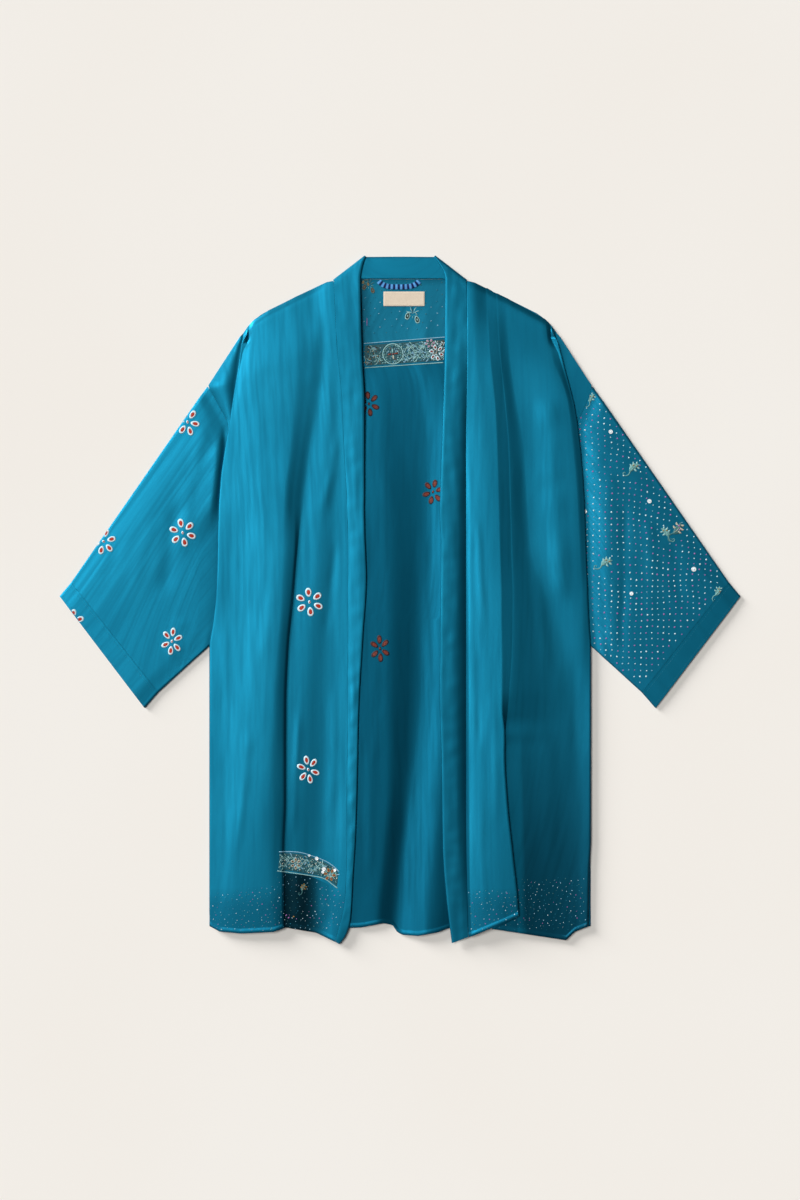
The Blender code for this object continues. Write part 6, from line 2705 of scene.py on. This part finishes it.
@dataclass(frozen=True)
class Sequin:
    """A dished sequin, held by a bead of thread in its middle.

    Attributes:
        centre: Its place on the robe.
        radius: Its radius.
    """

    centre: Flat
    radius: float

    def work(self, cloth: Needlework) -> None:
        """Sew it on.

        Args:
            cloth: What it is sewn on.
        """
        rings = (
            (0, 1.35, Thread.WHITE), (0.2, 1.1, Thread.WHITE), (0.24, 0.5, SEQUIN), (0.55, 0.55, SEQUIN),
            (0.9, 0.85, SEQUIN), (1, 0.8, SEQUIN), (0.96, 0.6, SEQUIN), (0.6, UNDER_CLOTH, SEQUIN),
        )
        cloth.dome(self.centre, (self.radius, self.radius), rings, 0, 18)


@dataclass(frozen=True)
class Knot:
    """A small oval knot on its own.

    Attributes:
        centre: Its place on the robe.
        thread: Its thread.
    """

    centre: Flat
    thread: Thread

    def work(self, cloth: Needlework) -> None:
        """Sew it."""
        cloth.dome(self.centre, (1.6, 1.1), knot(self.thread, 0.5, 0.45), 40)


@dataclass(frozen=True)
class LongStitch:
    """A single stitch on its own.

    Attributes:
        ends: Its ends on the robe.
        thread: Its thread.
    """

    ends: tuple[Flat, Flat]
    thread: Thread

    def work(self, cloth: Needlework) -> None:
        """Sew it."""
        cloth.stroke(self.ends, (0.8, 1.6, 0.8), self.thread, 0.4)


@dataclass(frozen=True)
class RunningStitch:
    """A row of small stitches along a line.

    Attributes:
        line: The row's points.
        thread: Its thread.
    """

    line: Sequence[Flat]
    thread: Thread = Thread.TEAL

    def work(self, cloth: Needlework) -> None:
        """Sew the stitches that fit in.

        Args:
            cloth: What it is sewn on.
        """
        length, gap, width, height = STITCH
        path = smooth_line(self.line, 0.5)
        lengths = [value / MM for value in running(path)]
        place = 0
        while place + length < lengths[-1]:
            ends = [place_along(path, lengths, reach) for reach in (place, place + length / 2, place + length)]
            cloth.stroke(ends, (0.6 * width, width, 0.6 * width), self.thread, height, 0.8)
            place += length + gap


def blossoms(table: Table, *threads: Thread) -> list[Blossom]:
    """Flowers of a table, in their usual threads if none are given."""
    return [Blossom(from_pixel(column, row), *sizes, *threads) for column, row, *sizes in table]


def curled_leaves(table: Table, *threads: Thread) -> list[CurledLeaf]:
    """Curled leaves of a table, in their usual threads if none are given."""
    return [CurledLeaf(from_pixel(column, row), *sizes, *threads) for column, row, *sizes in table]


def sequins(table: Table) -> list[Sequin]:
    """Sequins of a table."""
    return [Sequin(from_pixel(column, row), radius) for column, row, radius in table]


def on_right_sleeve(x: float, y: float) -> bool:
    """Whether a place is on the right sleeve, clear of its edges and of the cuff's seam.

    Args:
        x: Place across the robe.
        y: Place up the robe.

    Returns:
        True where spots are sewn.
    """
    corners = list(zip(ARMHOLE_OUT, ARMHOLE_Y))
    cuff = beside(x, y, CUFF_SEAM[1], CUFF_SEAM[0])
    top, low = (beside(x, y, *ends) for ends in zip(corners, CUFF_SEAM))
    return cuff < SPOTS_END[0] and top > SPOTS_END[1] and low < SPOTS_END[2]


def in_hem(side: Side, x: float, y: float) -> bool:
    """Whether a place is inside the spotted hem of a front."""
    return HEM_SPOTS_END < y < straight(SPOTTED_HEMS[side], x) - 3


@dataclass
class Embroidery:
    """All the needlework of the robe, piece by piece.

    Attributes:
        cloths: The pieces of cloth by name.
        made: The needlework on each of them.
    """

    cloths: dict[str, Piece]
    made: dict[str, list[Piece]] = field(default_factory=dict)

    def sew(self, name: str, host: str, works: Iterable[Work], below: bool = False) -> None:
        """Sew works on one piece of cloth, as one piece of needlework.

        Args:
            name: Name of the new piece.
            host: Name of the cloth.
            works: What is sewn, in this order.
            below: Whether it is on the side that lies down.
        """
        cloth = Needlework(name, self.cloths[host], below)
        for work in works:
            work.work(cloth)
        piece = cloth.build()
        if piece:
            self.made.setdefault(cloth.host.name, []).append(piece)

    def flowers(self) -> None:
        """Sew the flowers that lie by themselves, the back's also as they show on its wrong side."""
        self.sew("front_left_blossoms", "front_left", blossoms(LEFT_FRONT_BLOSSOMS))
        self.sew("sleeve_left_blossoms", "sleeve_left", blossoms(LEFT_SLEEVE_BLOSSOMS))
        self.sew("sleeve_left_blossoms_under", "sleeve_left", blossoms(HIDDEN_SLEEVE_BLOSSOMS), True)
        self.sew("cuff_left_blossom", "cuff_left", blossoms(LEFT_SLEEVE_BLOSSOMS[-1:]))
        wrong_side = blossoms(WRONG_SIDE_BLOSSOMS, Thread.MAROON, Thread.RUST, Thread.MAROON)
        self.sew("back_blossoms_inside", "back", wrong_side)
        self.sew("back_blossoms_outside", "back", blossoms(HIDDEN_BLOSSOMS), True)

    def right_sleeve(self) -> None:
        """Sew the spots, curled leaves and sequins of the right sleeve, above and below."""
        clear = [(*from_pixel(a, b), 0.42 * size) for a, b, size, _, _ in CURLED_LEAVES + PINK_LEAVES]
        clear += [(*from_pixel(a, b), SEQUIN_ROOM) for a, b, _ in SLEEVE_SEQUINS]
        for word, below, keep_off in (("top", False, clear), ("under", True, ())):
            spots = DotField(on_right_sleeve, (238, -136, 476, 420), 11, skew=(0.03, -0.3), stagger=0,
                             keep_off=keep_off)
            self.sew(f"sleeve_right_spots_{word}", "sleeve_right", [spots], below)
        leaves = curled_leaves(CURLED_LEAVES)
        leaves += curled_leaves(PINK_LEAVES, Thread.GREY_GREEN, Thread.CREAM, Thread.PINK)
        self.sew("sleeve_right_leaves", "sleeve_right", leaves)
        self.sew("sleeve_right_sequins", "sleeve_right", sequins(SLEEVE_SEQUINS))

    def back_neck(self) -> None:
        """Sew the spots, sprigs and border strip that show inside the back neck."""
        pale = (Thread.PALE_BLUE, Thread.TEAL, Thread.PALE_BLUE, Thread.GREY_GREEN)
        keep_off = [(*from_pixel(413, 316), 15), (*from_pixel(370, 285), 12), (*from_pixel(404, 299), 9)]
        spots = DotField(lambda x, y: y < 462, (-66, 376, 66, 470), 5, pale, (15, 8.6), (0.8, 1.25),
                         (0.12, 0.12), 1.6, keep_off=keep_off)
        self.sew("back_neck_spots", "back", [spots])
        self.sew("back_neck_sprigs", "back", [
            Sprig(from_pixel(413, 313.5), 30, Thread.MINT, Thread.DARK),
            Sprig(from_pixel(369, 285), 26, Thread.GREY_GREEN, Thread.BROWN),
            Sprig(from_pixel(366, 281), 16, Thread.GREY_GREEN, Thread.GOLD),
            LongStitch((from_pixel(367, 318), from_pixel(367, 326)), Thread.PINK),
        ])
        vines = ((0, 0.2, 3, 0.3), (0.48, 0.84, 5, 0.3), (0.5, 0.8, 4, 0.24, -1))
        fillings = (
            (0, 0.2, (Thread.BROWN, Thread.GREY_GREEN, Thread.DARK, Thread.GREY_GREEN, Thread.GOLD), 100),
            (0.18, 0.84, (Thread.PALE_GREEN, Thread.MINT, Thread.TEAL, Thread.PALE_BLUE, Thread.DARK), 300),
            (0.84, 1, (Thread.CREAM, Thread.WHITE, Thread.WHITE, Thread.BROWN, Thread.MINT), 150),
        )
        self.sew("back_neck_border", "back", [
            Strip(*NECK_STRIP, vines, fillings),
            Medallion(from_pixel(393, 354), 14.6),
            Blossom(from_pixel(436.5, 353), 4, 0.9, 15, Thread.WHITE, Thread.RUST, Thread.CREAM),
            Blossom(from_pixel(430, 343.5), 2.2, 1.2, 40, Thread.CREAM, Thread.PINK, Thread.RUST),
        ])

    def left_hem(self) -> None:
        """Sew the border patch and sequins above the left front's hem."""
        vines = ((0.02, 0.98, 8, 0.26), (0.02, 0.9, 6, 0.22, -1))
        threads = (Thread.GREY_GREEN, Thread.CREAM, Thread.MINT, Thread.TEAL, Thread.DARK)
        self.sew("front_left_border", "front_left", [
            Strip(*HEM_STRIP, vines, [(0.02, 0.98, threads, 240)], 9),
            Blossom(from_pixel(296, 863), 2.9, 0.9, 0, Thread.CREAM, Thread.BROWN, Thread.GOLD),
            Blossom(from_pixel(330, 874), 3.3, 0.9, 20, Thread.GOLD, Thread.RUST, Thread.CREAM),
            CurledLeaf(from_pixel(303, 889), 19, 62, 1, Thread.GREY_GREEN, Thread.GOLD, Thread.BROWN),
            Knot(from_pixel(294, 916), Thread.GOLD),
            Knot(from_pixel(286.5, 914.5), Thread.PINK),
            Knot(from_pixel(289, 917), Thread.PINK),
        ])
        self.sew("front_left_sequins", "front_left", sequins(HEM_SEQUINS))

    def hem_spots(self) -> None:
        """Sew the spots above the hems of both fronts."""
        threads = (
            Thread.PALE_BLUE, Thread.TEAL, Thread.WHITE, Thread.PALE_GREEN,
            Thread.PALE_BLUE, Thread.TEAL, Thread.GREY_GREEN, Thread.PINK,
        )
        for side, seed, low, high in ((Side.LEFT, 21, -270, -82), (Side.RIGHT, 31, 101, 268)):
            name = f"front_{side.word}"
            spots = DotField(partial(in_hem, side), (low, -480, high, -390), seed, threads, (8.4, 5.2),
                             (0.45, 0.95), scatter=2.2)
            self.sew(f"{name}_spots", name, [spots])

    def stitching(self) -> None:
        """Sew the two rows of stitches that hold each cuff, from near its upper to near its lower edge."""
        for side in Side:
            rows = []
            for share in (0.16, 0.88):
                ends = [mix_points(a, b, share) for a, b in zip(CUFF_SEAM, CUFF_END)]
                line = [mix_points(*ends, t) for t in (0.015, 0.985)]
                rows.append(RunningStitch([(side.value * out, y) for out, y in line]))
            self.sew(f"cuff_{side.word}_stitches", f"cuff_{side.word}", rows)

    def build(self) -> None:
        """Sew everything."""
        self.flowers()
        self.right_sleeve()
        self.back_neck()
        self.left_hem()
        self.hem_spots()
        self.stitching()


@dataclass
class Robe:
    """The whole robe, built in the order in which its layers lie.

    Attributes:
        cloths: The pieces of cloth by name.
    """

    cloths: dict[str, Piece] = field(default_factory=dict)

    # Cut sizes in metres: width and length, flat area and the pieces that the cloth lies on
    CUTS = {
        "back": ((0.552, 0.952), 0.486, Held.LAID, ()),
        "front_left": ((0.215, 0.957), 0.187, Held.FOLDED, ("back_silk", "sleeve_left_silk")),
        "front_right": ((0.260, 0.957), 0.181, Held.FOLDED, ("back_silk", "sleeve_right_silk")),
        "sleeve_left": ((0.740, 0.270), 0.111, Held.LAID, ()),
        "sleeve_right": ((0.740, 0.270), 0.111, Held.LAID, ()),
        "cuff_left": ((0.406, 0.028), None, Held.LAID, ()),
        "cuff_right": ((0.406, 0.028), None, Held.LAID, ()),
        "neck_band": ((0.080, 2.100), 0.130, Held.FOLDED, ("back_silk", "front_left_silk", "front_right_silk")),
        "label": ((0.0593, 0.0208), None, Held.LAID, ("back_silk",)),
    }

    def cut_and_sew(self) -> None:
        """Make every piece of cloth."""
        fronts = {Side.LEFT: make_left_front(), Side.RIGHT: make_right_front()}
        self.cloths["back"] = BackPanel(fronts, Creases(BACK_CREASES, None)).build()
        sleeves = (
            (Side.LEFT, LEFT_SLEEVE, LEFT_SLEEVE_CREASES, TEAL_SILK),
            (Side.RIGHT, RIGHT_SLEEVE, RIGHT_SLEEVE_CREASES, DOTTED_SILK),
        )
        for side, profile, creases, finish in sleeves:
            sleeve = Sleeve(fronts[side], profile, Creases(creases, side, grain=30 * side.value), finish)
            self.cloths[f"sleeve_{side.word}"], self.cloths[f"cuff_{side.word}"] = sleeve.build()
        for side, front in fronts.items():
            self.cloths[f"front_{side.word}"] = front.build()
        halves = (BandHalf(fronts[Side.LEFT], LEFT_BAND), BandHalf(fronts[Side.RIGHT], RIGHT_BAND))
        self.cloths["neck_band"] = NeckBand(halves).build()
        self.cloths["loop"] = HangingLoop().build()
        self.cloths["label"] = Label().build()

    def declare(self, sewn: dict[str, list[Piece]]) -> None:
        """Add the ribbon to what is sewn on the back, and log what each piece of cloth was cut to.

        Args:
            sewn: The needlework on each piece of cloth, by the cloth's name.
        """
        sewn.setdefault("back_silk", []).append(self.cloths["loop"])
        for name, (flat, area, held, rests_on) in self.CUTS.items():
            piece = self.cloths[name]
            list(rests_on)
            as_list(sewn.get(piece.name, []))
            LOG.info("%s: cut %s m", piece.name, flat)


@dataclass(frozen=True)
class SoftLight:
    """A large soft light, far enough off to be even.

    Attributes:
        name: The light's name.
        strength: Its strength.
        direction: The way to it from the robe.
        softness: Angle in degrees that it fills.
        colour: Its colour.
    """

    name: str
    strength: float
    direction: Point
    softness: float
    colour: str

    def hang(self) -> None:
        """Make the light."""
        data = bpy.data.lights.new(self.name, "SUN")
        data.energy = self.strength
        data.angle = math.radians(self.softness)
        data.color = linear(self.colour)[:3]
        lamp = new_object(self.name, data)
        lamp.rotation_euler = Vector(self.direction).to_track_quat("Z", "Y").to_euler()
        lamp.location = Vector(self.direction) * 4


@dataclass
class Studio:
    """Pale floor, soft lights and the camera straight above.

    Attributes:
        floor: Half the width of the floor in metres.
        gap: How far the thread on the underside holds the robe off the floor.
        lights: One high light that the satin gleams in and one low light that draws the shadows.
        fill: Strength of the light all round.
    """

    floor: float = 6
    gap: float = 0.8
    lights: tuple[SoftLight, ...] = (
        SoftLight("high_light", 1.9, (-0.36, 0.18, 0.915), 27, "#FFFDF9"),
        SoftLight("low_light", 4.5, (-0.76, 0.58, 0.28), 24, "#FFFCF8"),
    )
    fill: float = 0.075

    def lay_floor(self) -> None:
        """Make the floor."""
        half, low = self.floor, -self.gap * MM
        maps = [(-half, -half), (half, -half), (half, half), (-half, half)]
        mesh = new_mesh("floor", [(x, y, low) for x, y in maps], [(0, 1, 2, 3)], maps)
        dress(mesh, [PAPER], [0])
        floor = new_object("floor", mesh)

    def light(self) -> None:
        """Hang the lights and fill the room with a weak even light."""
        for soft in self.lights:
            soft.hang()
        world = bpy.data.worlds.new("studio")
        world.use_nodes = True
        background = world.node_tree.nodes["Background"]
        background.inputs["Color"].default_value = (0.96, 0.98, 1, 1)
        background.inputs["Strength"].default_value = self.fill
        bpy.context.scene.world = world
        bpy.context.scene.view_settings.view_transform = "Standard"

    def set_camera(self) -> None:
        """Put the camera where the photograph was taken from."""
        lens = bpy.data.cameras.new("camera")
        field_mm = PHOTO_SIZE[1] * MM_PER_PIXEL
        lens.sensor_width = SENSOR_MM
        lens.lens = SENSOR_MM * CAMERA_HEIGHT_MM / field_mm
        camera = new_object("camera", lens)
        middle = from_pixel(PHOTO_SIZE[0] / 2, PHOTO_SIZE[1] / 2)
        camera.location = (middle[0] * MM, middle[1] * MM, CAMERA_HEIGHT_MM * MM)
        bpy.context.scene.camera = camera


def main() -> None:
    """Build the robe and its studio round the frame."""
    logging.basicConfig(level=logging.INFO, format="%(name)s: %(message)s")
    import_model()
    robe = Robe()
    robe.cut_and_sew()
    embroidery = Embroidery(robe.cloths)
    embroidery.build()
    robe.declare(embroidery.made)
    studio = Studio()
    studio.lay_floor()
    studio.light()
    studio.set_camera()
    bpy.context.view_layer.update()


if __name__ == "__main__":
    main()
